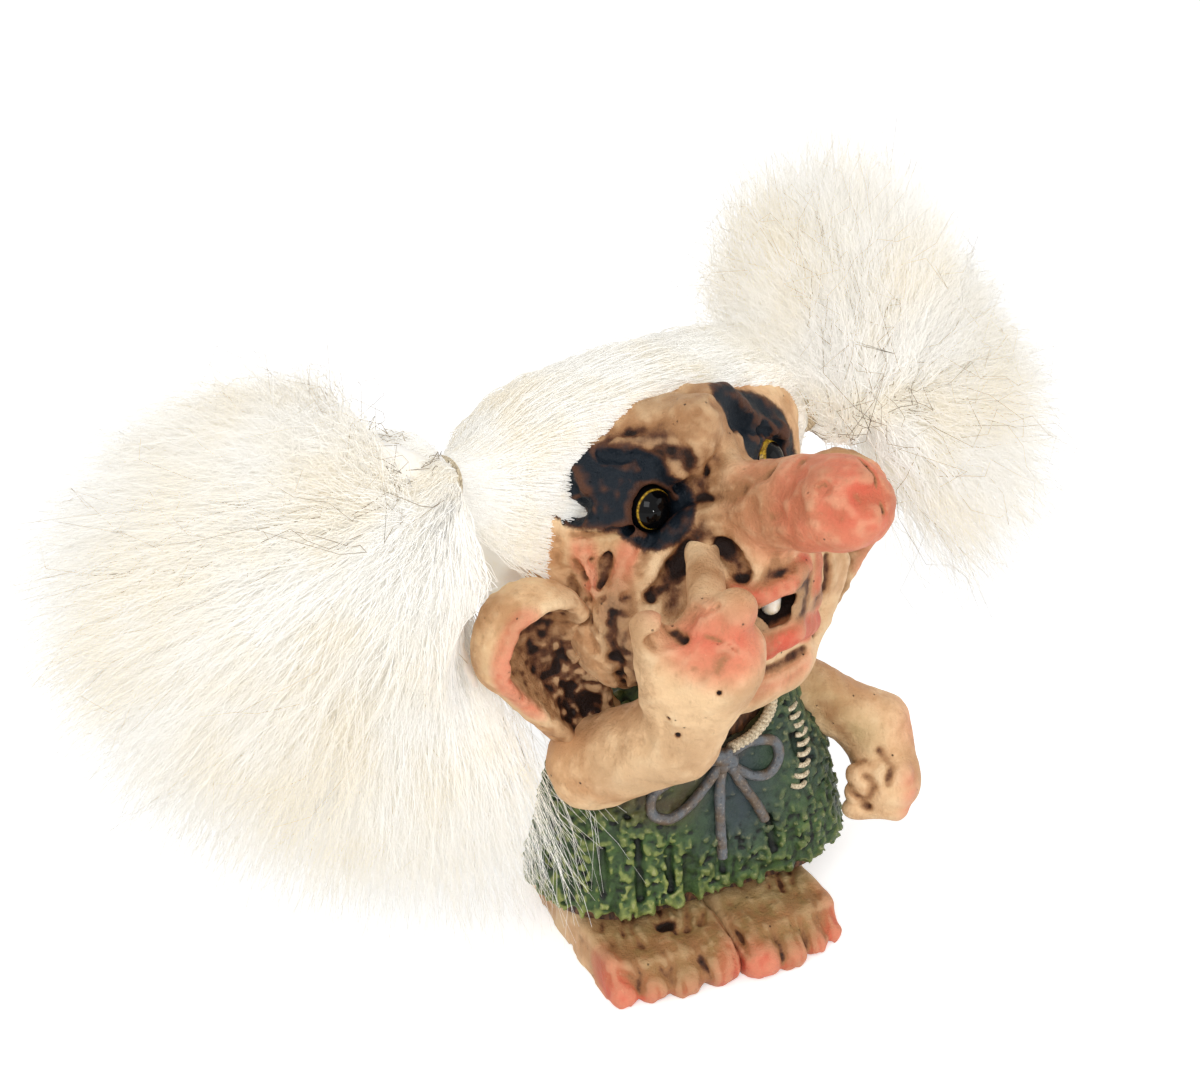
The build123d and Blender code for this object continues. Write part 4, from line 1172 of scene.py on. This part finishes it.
# Feet
foot_seam = -4
foot_height = 10
foot_edge = 2.0
foot_scratches = 26
foot_outlines = {
    -1: ((-4.1, -33), (-4.1, 21), (-35, 21), (-36, -27), (-30, -30), (-20, -31)),
    1: ((-3.9, -33), (24, -29), (23.2, 21), (-3.9, 21)),
}
toe_places = {
    -1: ((-9.1, -37, 5.7), (-18.4, -36.2, 4.7), (-26.2, -34.9, 4.1), (-32.9, -33, 3.4)),
    1: ((0.5, -39, 5.0), (8.6, -38.3, 4.1), (15.5, -36.6, 3.6), (21.3, -33.6, 3.0)),
}


def outline_distance(grid, outline):
    """Distance from an upright wall over an outline of straight lines."""
    x, y = grid[0] + 0 * grid[1], grid[1] + 0 * grid[0]
    best = np.full(x.shape, 1e9)
    inside = np.zeros(x.shape, bool)
    for (ax, ay), (bx, by) in zip(outline, outline[1:] + outline[:1]):
        along = np.array([bx - ax, by - ay])
        share = np.clip(((x - ax) * along[0] + (y - ay) * along[1]) / (along @ along), 0, 1)
        best = np.minimum(best, np.hypot(x - ax - share * along[0], y - ay - share * along[1]))
        crosses = ((ay > y) != (by > y)) & (x < (bx - ax) * (y - ay) / ((by - ay) or 1e-9) + ax)
        inside ^= crosses
    return np.where(inside, -best, best)


def foot_slab(grid, side):
    """Distance from a flat foot with a rounded upper edge."""
    wall = outline_distance(grid, foot_outlines[side]) + foot_edge
    top = grid[2] - (foot_height - foot_edge)
    outside = np.sqrt(np.maximum(wall, 0) ** 2 + np.maximum(top, 0) ** 2)
    return outside + np.minimum(np.maximum(wall, top), 0) - foot_edge


def add_toes(clay, brush, toes):
    """Blunt toes, and the dark gaps between them."""
    for out, tip, radius in toes:
        near = (out, tip + radius, radius * 0.75)
        middle = (out, tip + radius + 5, 6.0)
        clay.add([near, middle, (out, tip + radius + 12, 5.0)], (radius, radius * 0.9, radius * 0.75), 1.5)
        brush.stroke("coral", [near, middle], radius + 2.0, 2.5, 1.1)
        clay.cut([(out, tip - 0.4, 0.6), (out, tip + 1, 0.3)], 0.6, 0.6)
    for (first, first_tip, radius), (second, second_tip, other) in zip(toes, toes[1:]):
        middle = first + (second - first) * radius / (radius + other)
        tip = (first_tip + second_tip) / 2
        line = [(middle, tip + 0.6, 5), (middle, tip + 5, 10.2), (middle, tip + 10, 11.2)]
        clay.cut(line, (0.9, 1.3, 0.7), 0.5)
        brush.stroke("dark", line, 0.8, 2.2, 1.1)


def scratch_foot(clay, brush, side):
    """Faint furrows along the top of a foot."""
    random = np.random.default_rng(61 + side)
    for index in range(foot_scratches):
        out = random.uniform(-34, -8) if side < 0 else random.uniform(-1, 20)
        start = random.uniform(-24, 8)
        length = random.uniform(4, 11)
        lean = random.normal(0.4, 0.25)
        line = [(out, start, 10.6), (out + lean * length, start + length, 10.6)]
        clay.cut(line, (random.uniform(1.0, 1.5), 0.9), 0.5)
        brush.stroke("dark", line, 0.2, 1.6, 0.4)


def make_foot(side, name, material):
    """A flat foot with four blunt toes."""
    clay = Clay((-40, -43, -1.5), (28, 25, 14), 0.55)
    brush = Brush(clay)
    grid = clay.whole()
    clay.field = np.minimum(clay.field, foot_slab(grid, side).astype(np.float32))
    add_toes(clay, brush, toe_places[side])
    scratch_foot(clay, brush, side)
    if side < 0:
        clay.cut([(-16.7, -20.3, 11.5)], 2.6, 0.8)
        brush.stroke("dark", (-16.7, -20.3, 10), 2.4, 1.2, 1.1)
    brush.stroke("olive", [(side * 13 - 5, -22, 9), (side * 13 - 5, 20, 9)], 15, 3, 0.9)
    brush.stroke("tan", [(side * 13 - 5, -22, 9), (side * 13 - 5, 20, 9)], 16, 4, 0.5)
    brush.stroke("dark", [(side * 14 - 5, -6, 10), (side * 14 - 5, 14, 10)], 12, 6, 0.5)
    seam = [(foot_seam, -36, 8), (foot_seam, -20, 11), (foot_seam, 10, 11)]
    brush.stroke("dark", seam, 1.2, 2.0, 0.8)
    clay.cut(seam, (1.5, 1.2, 1.0), 0.6)
    room = (grid[0] - foot_seam) * side
    clay.field = np.maximum(np.maximum(clay.field, 0.1 - room), -grid[2]).astype(np.float32)
    clay.roughen(0.55, 5, 63 + side)
    clay.roughen(0.35, (1.2, 6, 4), 69 + side)
    clay.roughen(0.18, 1.8, 66 + side)
    clay.field = np.maximum(clay.field, 0.02 - grid[2])
    finish_clay(clay, "foot_sculpt_" + name, ("foot_" + name,), material, brush)


# Eyes and teeth
pupil_radii = {-1: 5.1, 1: 4.2}
iris_radius = 5.5
iris_shift = 1.0            # towards the camera's right
iris_lift = 0.7             # up at the left eye, down at the right one


def eye_glass(side, name):
    """A glass dome: an amber iris with a broad black pupil."""
    glass = Shader("eye_glass_" + name, Roughness=0.04, Specular_IOR_Level=0.14)
    middle = eye_places[side] + eye_gaze(side) * eye_radius
    middle = middle + camera_right * iris_shift + camera_up * (iris_lift * side)
    pupil = pupil_radii[side]
    away = glass.nodes.new("ShaderNodeVectorMath")
    away.operation = "DISTANCE"
    glass.put(away.inputs[0], glass.place())
    away.inputs[1].default_value = middle
    distance = away.outputs["Value"]
    fibres = glass.noise(0.6, 3)
    amber = glass.mix(glass.range(fibres, 0.35, 0.65), rgb(206, 166, 52), rgb(120, 86, 24))
    colour = glass.mix(glass.range(distance, pupil, pupil + 0.4), rgb(4, 4, 5), amber)
    colour = glass.mix(glass.range(distance, iris_radius, iris_radius + 0.4), colour, rgb(10, 10, 12))
    glass.put(glass.main.inputs["Base Color"], colour)
    return glass.material


def make_eyes():
    """Dark painted discs under glass domes."""
    for side, name in ((-1, "right"), (1, "left")):
        disc = Shader("eye_disc_" + name, Roughness=0.4)
        disc.put(disc.main.inputs["Base Color"], disc.mix(disc.noise(0.6), rgb(8, 8, 9), rgb(60, 44, 14)))
        dress_node("eye_disc_" + name, disc.material)
        dress_node("eye_lens_" + name, eye_glass(side, name))


def dress_node(node, material):
    """Gives a piece of the solid model its material."""
    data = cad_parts[node].data
    data.materials.clear()
    data.materials.append(material)
    for polygon in data.polygons:
        polygon.use_smooth = True


# Tubes, for cords, stitches and strands
def tube_mesh(name, paths, radii, sides=3):
    """Closed tubes along paths: an array of tubes by points by axes, in millimetres."""
    count, length = paths.shape[:2]
    radii = np.broadcast_to(radii, (count, length))
    along = np.gradient(paths, axis=1)
    along /= np.linalg.norm(along, axis=2, keepdims=True) + 1e-9
    side = np.cross(along, (0.31, 0.57, 0.76))
    side /= np.linalg.norm(side, axis=2, keepdims=True) + 1e-9
    other = np.cross(along, side)
    turns = 2 * math.pi * np.arange(sides) / sides
    ring = np.cos(turns)[:, None] * side[:, :, None] + np.sin(turns)[:, None] * other[:, :, None]
    points = (paths[:, :, None] + radii[:, :, None, None] * ring).reshape(-1, 3)
    index = np.arange(len(points)).reshape(count, length, sides)
    following = np.roll(index, -1, 2)
    corners = (index[:, :-1], following[:, :-1], following[:, 1:], index[:, 1:])
    faces = [np.stack([corners[i] for i in order], 3).reshape(-1, 3) for order in ((0, 1, 2), (0, 2, 3))]
    for step in range(1, sides - 1):
        for row, order in ((0, (0, step + 1, step)), (-1, (0, step, step + 1))):
            faces.append(index[:, row][:, list(order)])
    return make_mesh(name, points, np.concatenate(faces))


def smooth_path(places, count):
    """A curve through places, with points spread evenly along it."""
    places = np.array(places, float)
    ends = 2 * places[[0, -1]] - places[[1, -2]]
    knots = np.concatenate([ends[:1], places, ends[1:]])
    curve = []
    for a, b, c, d in zip(knots, knots[1:], knots[2:], knots[3:]):
        share = np.linspace(0, 1, 12, endpoint=False)[:, None]
        curve.append(0.5 * (2 * b + (c - a) * share + (2 * a - 5 * b + 4 * c - d) * share ** 2
                            + (3 * b - a - 3 * c + d) * share ** 3))
    curve = np.concatenate([*curve, places[-1:]])
    way = np.concatenate([[0], np.cumsum(np.linalg.norm(np.diff(curve, axis=0), axis=1))])
    even = np.linspace(0, way[-1], count)
    return np.stack([np.interp(even, way, curve[:, axis]) for axis in range(3)], 1)


def make_cord_piece(name, places, radius, nodes, material, seed):
    """One run of moulded cord, a little uneven."""
    path = smooth_path(places, 60)
    random = np.random.default_rng(seed)
    uneven = np.convolve(random.normal(0, 0.2, len(path) + 8), np.ones(9) / 9, "valid")
    radii = radius * (1 + uneven)
    radii[[0, -1]] *= 0.6
    piece = tube_mesh(name, path[None], radii[None], 12)
    place_piece(piece, nodes, material)


def make_twisted_cord(name, places, radius, turns, nodes, material):
    """A cord of two strands laid round each other."""
    path = smooth_path(places, 24 * turns)
    along = np.gradient(path, axis=0)
    along /= np.linalg.norm(along, axis=1, keepdims=True)
    side = np.cross(along, (0.3, 0.2, 0.93))
    side /= np.linalg.norm(side, axis=1, keepdims=True)
    other = np.cross(along, side)
    twist = np.linspace(0, 2 * math.pi * turns, len(path))[:, None]
    strands = []
    for phase in (0, math.pi):
        swing = np.cos(twist + phase) * side + np.sin(twist + phase) * other
        strands.append(path + radius * 0.5 * swing)
    piece = tube_mesh(name, np.stack(strands), radius * 0.58, 8)
    place_piece(piece, nodes, material)


# Cords on the tunic's front, by places across and up
knot_height = 49
cord_lift = 0.8
neck_cord_places = ((2, 51), (8, 53), (13, 58), (16, 63))
bow_loops = ((-1, "right", 21, 10), (1, "left", 15, 4))     # side, name, length and drop
bow_loop_half_width = 4.5
bow_loop_shares = (
    (0.04, 0.1), (0.3, 0.75), (0.62, 1), (0.88, 0.85), (1, 0),
    (0.88, -0.85), (0.62, -1), (0.3, -0.6), (0.04, -0.1),
)
bow_tails = (
    ("middle", ((-0.5, 48), (-1.5, 40), (-1.5, 31), (-1.2, 22.5))),
    ("side", ((1, 48), (4.5, 41), (8, 35), (10.5, 29.5))),
)
stitch_count = 9
stitch_low = 36
stitch_rise = 19
stitch_out = 20
stitch_bow = 2.5
stitch_steps = ((-2, 0.1), (-1, 1.1), (0.5, 1.3), (2, 0.2))  # across, and off the tunic


def make_neck_cords(thread):
    """The cord round the neckline."""
    for side, name in ((-1, "right"), (1, "left")):
        places = [bell_front(side * out, up, cord_lift) for out, up in neck_cord_places]
        make_twisted_cord("neck_cord_rope_" + name, places, 1.35, 9, ("neck_cord_" + name,), thread)


def make_bow(cord_paint):
    """The bow's loops, tails and knot."""
    for side, name, length, drop in bow_loops:
        lean = math.atan2(-drop, length)
        loop = []
        for along_share, across_share in bow_loop_shares:
            along = along_share * length
            across = across_share * bow_loop_half_width
            out = along * math.cos(lean) - across * math.sin(lean)
            up = along * math.sin(lean) + across * math.cos(lean)
            loop.append(bell_front(side * out, knot_height + up, cord_lift))
        make_cord_piece("bow_loop_cord_" + name, loop, 1.25, ("bow_loop_" + name,), cord_paint, 71 + side)
    for name, points in bow_tails:
        places = [bell_front(out, up, cord_lift) for out, up in points]
        make_cord_piece("bow_tail_cord_" + name, places, 1.3, ("bow_tail_" + name,), cord_paint, 75)
    knot = Clay((-6, -26, 42), (6, -8, 56), 0.4)
    centre = bell_front(0, knot_height, cord_lift)
    knot.add([centre + (-1.6, 0, 1), centre + (1.6, 0, -1)], 2.2)
    knot.add([centre + (0.6, -0.8, 2.2), centre + (-0.8, -0.8, -2.2)], 1.3, 0.5)
    knot.roughen(0.2, 2, 77)
    points, faces = knot.surface()
    place_piece(make_mesh("bow_knot_cord", points, faces), ("bow_knot",), cord_paint)


def make_stitches(thread):
    """Short threads across the armhole's seam."""
    runs = []
    for index in range(stitch_count):
        share = index / (stitch_count - 1)
        up = stitch_low + share * stitch_rise
        out = stitch_out + stitch_bow * math.sin(math.pi * share)
        across = [bell_front(out + step, up - step * 0.15, lift) for step, lift in stitch_steps]
        runs.append(smooth_path(across, 9))
    piece = tube_mesh("armhole_threads", np.stack(runs), 0.62, 8)
    place_piece(piece, ("armhole_stitches",), thread)


# Hair
tie_places = {-1: head_point(-60, 17, 127), 1: head_point(46, 16, 113)}
tie_radius = 6
tie_turns = 4
tie_thread_radius = 0.5
bunch_neck = 12
scalp_radius = 31
bunches = {
    -1: {
        "reach": 122, "radius": 21,
        "turns": (128, 157, 184, 208, 230, 251, 268, 282),
        "shares": (0.3, 0.52, 0.68, 0.71, 0.74, 0.81, 0.91, 1.0),
        "width_shares": (0.7, 0.9, 1, 1, 1, 1, 1, 0.9),
    },
    1: {
        "reach": 90, "radius": 18,
        "turns": (-50, -34, -12, 15, 50, 85, 113, 142),
        "shares": (0.88, 0.88, 0.76, 0.56, 0.54, 0.74, 0.76, 0.52),
        "width_shares": (1, 1, 1, 0.9, 0.8, 1, 1, 0.8),
    },
}
hair_points = 18
hair_share = 1.0
piece_strands = 1900
scalp_piece_strands = 1800
bunch_pieces = {-1: 8, 1: 6}
scalp_sides = (-1, 1) * 4       # which tie each piece of the scalp's strands runs to
stray_count = 220
stray_spread = 2.5
strand_radius = 0.1
scalp_strand_radius = 0.11
stray_radius = 0.08
bell_gap = 0.8
ground_gap = 0.8


def gather_root(side):
    """Where the fleece gathers on the head, on its way to a tie."""
    return head_point(side * 25, skull_back, 109)


def tie_axis(side):
    """The way that a bunch leaves its tie."""
    axis = tie_places[side] - gather_root(side)
    return axis / np.linalg.norm(axis)


def bezier(places, shares):
    """Points along curves between rows of four places, one curve a row."""
    rest = 1 - shares
    weights = (rest ** 3, 3 * rest ** 2 * shares, 3 * rest * shares ** 2, shares ** 3)
    return sum(place[:, None] * weight[:, :, None] for place, weight in zip(places, weights))


def strand_shares(count):
    """How far along its strand each point lies, one strand a row."""
    return np.broadcast_to(np.linspace(0, 1, hair_points), (count, hair_points))


def waves(random, count, shares, amount, cycles):
    """Gentle waves across a strand, from none at its root to their full size."""
    total = 0
    for harmonic, size in ((1, 1.0), (2.3, 0.45), (4.1, 0.2)):
        phase = random.uniform(0, 2 * math.pi, (count, 1, 3))
        speed = harmonic * random.uniform(0.7, 1.3, (count, 1, 1)) * cycles
        heading = random.normal(0, 1, (count, 1, 3))
        total = total + size * heading * np.sin(2 * math.pi * speed * shares[:, :, None] + phase)
    return amount * total * shares[:, :, None] ** 0.8


def bunch_strands(side, count, random, spread=1.0):
    """Paths of strands in locks, fanned out from the tie."""
    spec = bunches[side]
    turns = np.array(spec["turns"], float)
    axis = tie_axis(side)
    tie = tie_places[side]
    middle = tie + axis * bunch_neck
    lock_count = max(count // 8, 8)
    lock_turn = random.uniform(turns.min() - 6, turns.max() + 2, lock_count)
    swing = random.uniform(0, 2 * math.pi, lock_count)
    lock_depth = np.sin(swing) * random.uniform(0.5, 1, lock_count)
    lock_end = random.uniform(0.92, 1.03, lock_count)
    lock = random.integers(0, lock_count, count)
    turn = lock_turn[lock] + random.normal(0, 5.0 * spread, count)
    depth = np.clip(lock_depth[lock] + random.normal(0, 0.12 * spread, count), -1.05, 1.05)
    end = lock_end[lock] * random.uniform(0.7, 1.05, count) ** 0.6
    reach = np.interp(turn, turns, spec["shares"]) * spec["reach"]
    width = np.interp(turn, turns, spec["width_shares"]) * spec["radius"]
    angle = np.radians(turn)
    heading = np.stack([np.cos(angle), np.zeros(count), np.sin(angle)], 1)
    depth_way = np.array([0, 1, 0])
    bulge = width * (1 - np.sqrt(np.clip(1 - depth ** 2, 0, 1)))
    length = (reach - bulge) * end
    centre_turn = math.degrees(math.atan2(axis[2], axis[0]))
    offset_turn = np.radians((turn - centre_turn + 180) % 360 - 180)
    across = np.cross(axis, depth_way)
    start = -np.sin(offset_turn)[:, None] * across * 5 + depth[:, None] * depth_way * 5
    first = tie + start
    second = tie + axis * 10 + start * 3.4
    third = middle + heading * (length * 0.36)[:, None] + (depth * width * 1.1)[:, None] * depth_way
    last = middle + heading * length[:, None] + (depth * width)[:, None] * depth_way
    last[:, 2] -= random.uniform(0, 6, count)
    shares = strand_shares(count)
    paths = bezier((first, second, third, last), shares)
    lock_waves = waves(random, lock_count, strand_shares(lock_count), 2.6, 1.5)
    return paths + lock_waves[lock] + waves(random, count, shares, 1.7 * spread, 2.2)


def keep_clear(paths):
    """Lifts strands off the ground, out of the tunic and behind the ears."""
    paths[:, :, 2] = np.maximum(paths[:, :, 2], ground_gap)
    grid = [paths[:, :, axis] for axis in range(3)]
    gap = bell_distance(grid)
    inside = (gap < bell_gap) & (grid[2] > 8) & (grid[2] < 64)
    push = np.where(inside, bell_gap - gap, 0)
    flat = np.stack([paths[:, :, 0], paths[:, :, 1] - bell_back_set], 2)
    flat /= np.linalg.norm(flat, axis=2, keepdims=True) + 1e-9
    paths[:, :, :2] += push[:, :, None] * flat
    for side in (-1, 1):
        top, lobe = ear_ends(side)
        level = (top[1] + lobe[1]) / 2
        ear = np.array([(top[0], level, top[2]), (lobe[0], level, lobe[2])])
        gap = chain_distance([paths[:, :, 0], level, paths[:, :, 2]], ear, (10, 7))
        paths[:, :, 1] = np.maximum(paths[:, :, 1], level + 12 - 1.6 * np.maximum(gap, 0))
    return paths


def strand_radii(random, count, thick):
    """Thickness along each strand, thin at its tip."""
    taper = np.interp(np.linspace(0, 1, hair_points), (0, 0.6, 1), (1, 0.9, 0.3))
    return random.uniform(0.75, 1.25, (count, 1)) * thick * taper


def place_strands(name, node, paths, random, thick, material):
    """Turns paths of strands into a piece."""
    piece = tube_mesh(name, paths, strand_radii(random, len(paths), thick))
    place_piece(piece, (node,), material)


def place_core(core, name, node, material):
    """Turns the clay under some hair into a piece."""
    points, faces = core.surface()
    place_piece(make_mesh(name, relax(points, faces, 2), faces), (node,), material)


def make_bunch_core(side, name, material):
    """The soft inside of a bunch, clear of the head, the ear and the tunic."""
    spec = bunches[side]
    axis = tie_axis(side)
    tie = tie_places[side]
    middle = tie + axis * bunch_neck
    reach = spec["reach"]
    core = Clay(middle - (reach + 4, 26, reach + 4), middle + (reach + 4, 26, reach + 4), 1.6)
    core.add([tie - axis, middle], (5, 6))
    for turn, share, width_share in zip(spec["turns"], spec["shares"], spec["width_shares"]):
        angle = math.radians(turn)
        heading = np.array([math.cos(angle), 0, math.sin(angle)])
        width = spec["radius"] * width_share
        core.add([middle + heading * 3, middle + heading * reach * share * 0.55], (4, width * 0.3), 5)
    grid = core.whole()
    core.field = np.maximum(core.field, 6 - grid[2]).astype(np.float32)
    cut_skull_room(core, skull_forms[:1], 6, 1)
    cut_ear_room(core, side, (16, 10), 1)
    bell_room = 3 - bell_distance(grid)
    core.field = np.maximum(core.field, np.where(grid[2] < 70, bell_room, -FAR)).astype(np.float32)
    core.roughen(1.5, 8, 81 + side, 12)
    place_core(core, "bunch_core_" + name, "hair_bunch_" + name, material)


def make_bunch(side, name, material, core_material, stray_material):
    """One tied bunch: a soft core, its strands in locks, and stray darker hairs."""
    node = "hair_bunch_" + name
    make_bunch_core(side, name, core_material)
    random = np.random.default_rng(83 + side)
    count = int(piece_strands * hair_share)
    for number in range(bunch_pieces[side]):
        paths = keep_clear(bunch_strands(side, count, random))
        place_strands(f"bunch_strands_{name}_{number}", node, paths, random, strand_radius, material)
    paths = bunch_strands(side, stray_count, random, stray_spread)
    paths = keep_clear(paths + waves(random, stray_count, strand_shares(stray_count), 3.4, 1.8))
    place_strands("bunch_strays_" + name, node, paths, random, stray_radius, stray_material)


def make_scalp(material, core_material):
    """The fleece on the back of the head, combed to the two ties."""
    core = Clay((-80, -12, 74), (80, 66, 146), 1.2)
    core.add([head_point(*place) for place in skull_run], scalp_radius)
    grid = core.whole()
    core.field = np.maximum(core.field, 11 - head_back(grid[0], grid[1])).astype(np.float32)
    for side in (-1, 1):
        core.add([gather_root(side), tie_places[side]], (12, 4.5), 5)
    for side in (-1, 1):
        cut_ear_room(core, side, (14.5, 8.5), 0)
    core.roughen(0.8, 6, 91)
    place_core(core, "scalp_core", "scalp_fleece", core_material)
    random = np.random.default_rng(93)
    count = int(scalp_piece_strands * hair_share)
    for number, side in enumerate(scalp_sides):
        paths = scalp_strands(side, count, random)
        name = f"scalp_strands_{number}"
        place_strands(name, "scalp_fleece", paths, random, scalp_strand_radius, material)


def lift_off_scalp(paths, random):
    """Lifts strands out of the head's round back."""
    first_end, last_end = [head_point(*place) for place in skull_run]
    across = last_end - first_end
    way = np.clip((paths - first_end) @ across / (across @ across), 0, 1)
    away = paths - first_end - way[:, :, None] * across
    gap = np.linalg.norm(away, axis=2)
    cover = scalp_radius + 0.1 + random.uniform(0, 1.6, (len(paths), 1))
    back = head_back(paths[:, :, 0], paths[:, :, 1])
    push = np.maximum(cover - gap, 0) * np.clip((back - 9) / 5, 0, 1)
    return paths + away * (push / np.maximum(gap, 1))[:, :, None]


def scalp_strands(side, count, random):
    """Paths of strands from the scalp round the head to a tie."""
    tie = tie_places[side]
    axis = tie_axis(side)
    turn = random.uniform(-0.35, math.pi * 1.42, count)
    out = side * random.uniform(-10, 34, count)
    radius = scalp_radius + random.uniform(-1, 2.5, count)
    lean = np.clip((np.abs(out) - skull_span) / scalp_radius, 0, 0.95)
    cap = radius * np.sqrt(1 - lean ** 2)
    back = np.maximum(skull_back - cap * np.cos(turn) * 0.98, 8)
    up = skull_height + cap * np.sin(turn)
    start = np.stack([head_point(*place) for place in zip(out, back, up)])
    around = start - gather_root(side)
    around -= (around @ axis)[:, None] * axis
    around /= np.linalg.norm(around, axis=1, keepdims=True) + 1e-9
    second = start + axis * random.uniform(6, 14, (count, 1)) + around * 3
    third = tie - axis * 16 + around * random.uniform(7, 10.5, (count, 1))
    last = tie + axis * 1.5 + around * random.uniform(2, 5.2, (count, 1))
    shares = strand_shares(count)
    paths = bezier((start, second, third, last), shares)
    fade = np.interp(shares, (0, 0.5, 1), (0.6, 1, 0.1))[:, :, None]
    paths = paths + waves(random, count, np.maximum(shares, 0.3), 0.9, 2.4) * fade
    return lift_off_scalp(paths, random)


def make_ties(thread):
    """Thread wound round each bunch's neck."""
    for side, name in ((-1, "right"), (1, "left")):
        axis = tie_axis(side)
        first = np.cross(axis, (0, 1, 0))
        first /= np.linalg.norm(first)
        second = np.cross(axis, first)
        turns = np.linspace(0, 2 * math.pi * tie_turns, 120)
        climb = np.interp(turns, (0, turns[-1]), (-1.5, 1.5))
        path = tie_places[side] + climb[:, None] * axis
        circle = np.cos(turns)[:, None] * first + np.sin(turns)[:, None] * second
        path = path + (tie_radius + tie_thread_radius) * circle
        piece = tube_mesh("tie_thread_" + name, path[None], tie_thread_radius, 8)
        place_piece(piece, ("hair_tie_" + name,), thread)


# Stage and light
floor_glow = 0.42      # added where the floor is seen, so that it shows white
world_light = 0.62


def seen_directly(nodes, links):
    """1 for rays from the camera, and for those that gloss and glass show."""
    rays = nodes.new("ShaderNodeLightPath")
    total = rays.outputs["Is Camera Ray"]
    for name in ("Is Glossy Ray", "Is Transmission Ray"):
        either = nodes.new("ShaderNodeMath")
        either.operation = "MAXIMUM"
        links.new(total, either.inputs[0])
        links.new(rays.outputs[name], either.inputs[1])
        total = either.outputs[0]
    return total


def make_floor():
    """A pale floor."""
    mesh = bpy.data.meshes.new("floor")
    reach = 4.0
    corners = [(-reach, -reach, 0), (reach, -reach, 0), (reach, reach, 0), (-reach, reach, 0)]
    mesh.from_pydata(corners, [], [(0, 1, 2, 3)])
    floor = bpy.data.objects.new("floor", mesh)
    bpy.context.scene.collection.objects.link(floor)
    paint = Shader("floor_paint", Roughness=0.9, Specular_IOR_Level=0.1)
    paint.main.inputs["Base Color"].default_value = (0.95, 0.95, 0.95, 1)
    paint.main.inputs["Emission Color"].default_value = (1, 1, 1, 1)
    seen = seen_directly(paint.nodes, paint.links)
    paint.put(paint.main.inputs["Emission Strength"], paint.math("MULTIPLY", seen, floor_glow))
    mesh.materials.append(paint.material)


def add_lamp(name, place, size, power):
    """A square soft lamp that looks at the figure's middle."""
    data = bpy.data.lights.new(name, "AREA")
    data.shape = "SQUARE"
    data.size = size
    data.energy = power
    lamp = bpy.data.objects.new(name, data)
    lamp.location = place
    aim = Vector((0, 0, 0.09)) - Vector(place)
    lamp.rotation_euler = aim.to_track_quat("-Z", "Y").to_euler()
    bpy.context.scene.collection.objects.link(lamp)


def make_light():
    """A white world, two soft lamps, and a small one that glints in the eyes."""
    world = bpy.data.worlds.new("world")
    world.use_nodes = True
    background = world.node_tree.nodes["Background"]
    background.inputs["Color"].default_value = (1, 1, 1, 1)
    nodes = world.node_tree.nodes
    links = world.node_tree.links
    strength = nodes.new("ShaderNodeMapRange")
    links.new(seen_directly(nodes, links), strength.inputs["Value"])
    strength.inputs["To Min"].default_value = world_light
    strength.inputs["To Max"].default_value = 1.0
    links.new(strength.outputs["Result"], background.inputs["Strength"])
    bpy.context.scene.world = world
    add_lamp("key_lamp", (-0.75, -1.0, 1.25), 0.8, 11)
    add_lamp("fill_lamp", (1.1, -0.9, 0.8), 1.0, 3.0)
    glint = 0.42 * camera_right - 0.35 * camera_up + 0.84 * camera_back
    add_lamp("glint_lamp", tuple(Vector((0, 0, 0.11)) + Vector(glint) * 1.4), 0.08, 3.0)


# The whole object
make_camera()
make_floor()
make_light()
skin = painted_skin()
thread = pale_thread()
make_head(skin)
for side, name in ((-1, "right"), (1, "left")):
    make_ear(side, name, skin)
    make_foot(side, name, skin)
make_right_arm(skin)
make_left_arm(skin)
make_tunic(painted_tunic())
make_neck_cords(thread)
make_bow(painted_cord())
make_stitches(thread)
make_eyes()
dress_node("body_core", trunk_paint())
for name in ("tooth_right", "tooth_left"):
    dress_node(name, ivory())
hair = fleece("fleece", fleece_pale, fleece_warm, 0.15)
hair_core = fleece("fleece_core", fleece_pale, fleece_warm, 0.12)
stray_hair = fleece("stray_fleece", rgb(186, 172, 152), rgb(126, 112, 96))
for side, name in ((-1, "right"), (1, "left")):
    make_bunch(side, name, hair, hair_core, stray_hair)
make_scalp(hair, hair_core)
make_ties(thread)

bpy.context.scene.view_settings.view_transform = "Standard"
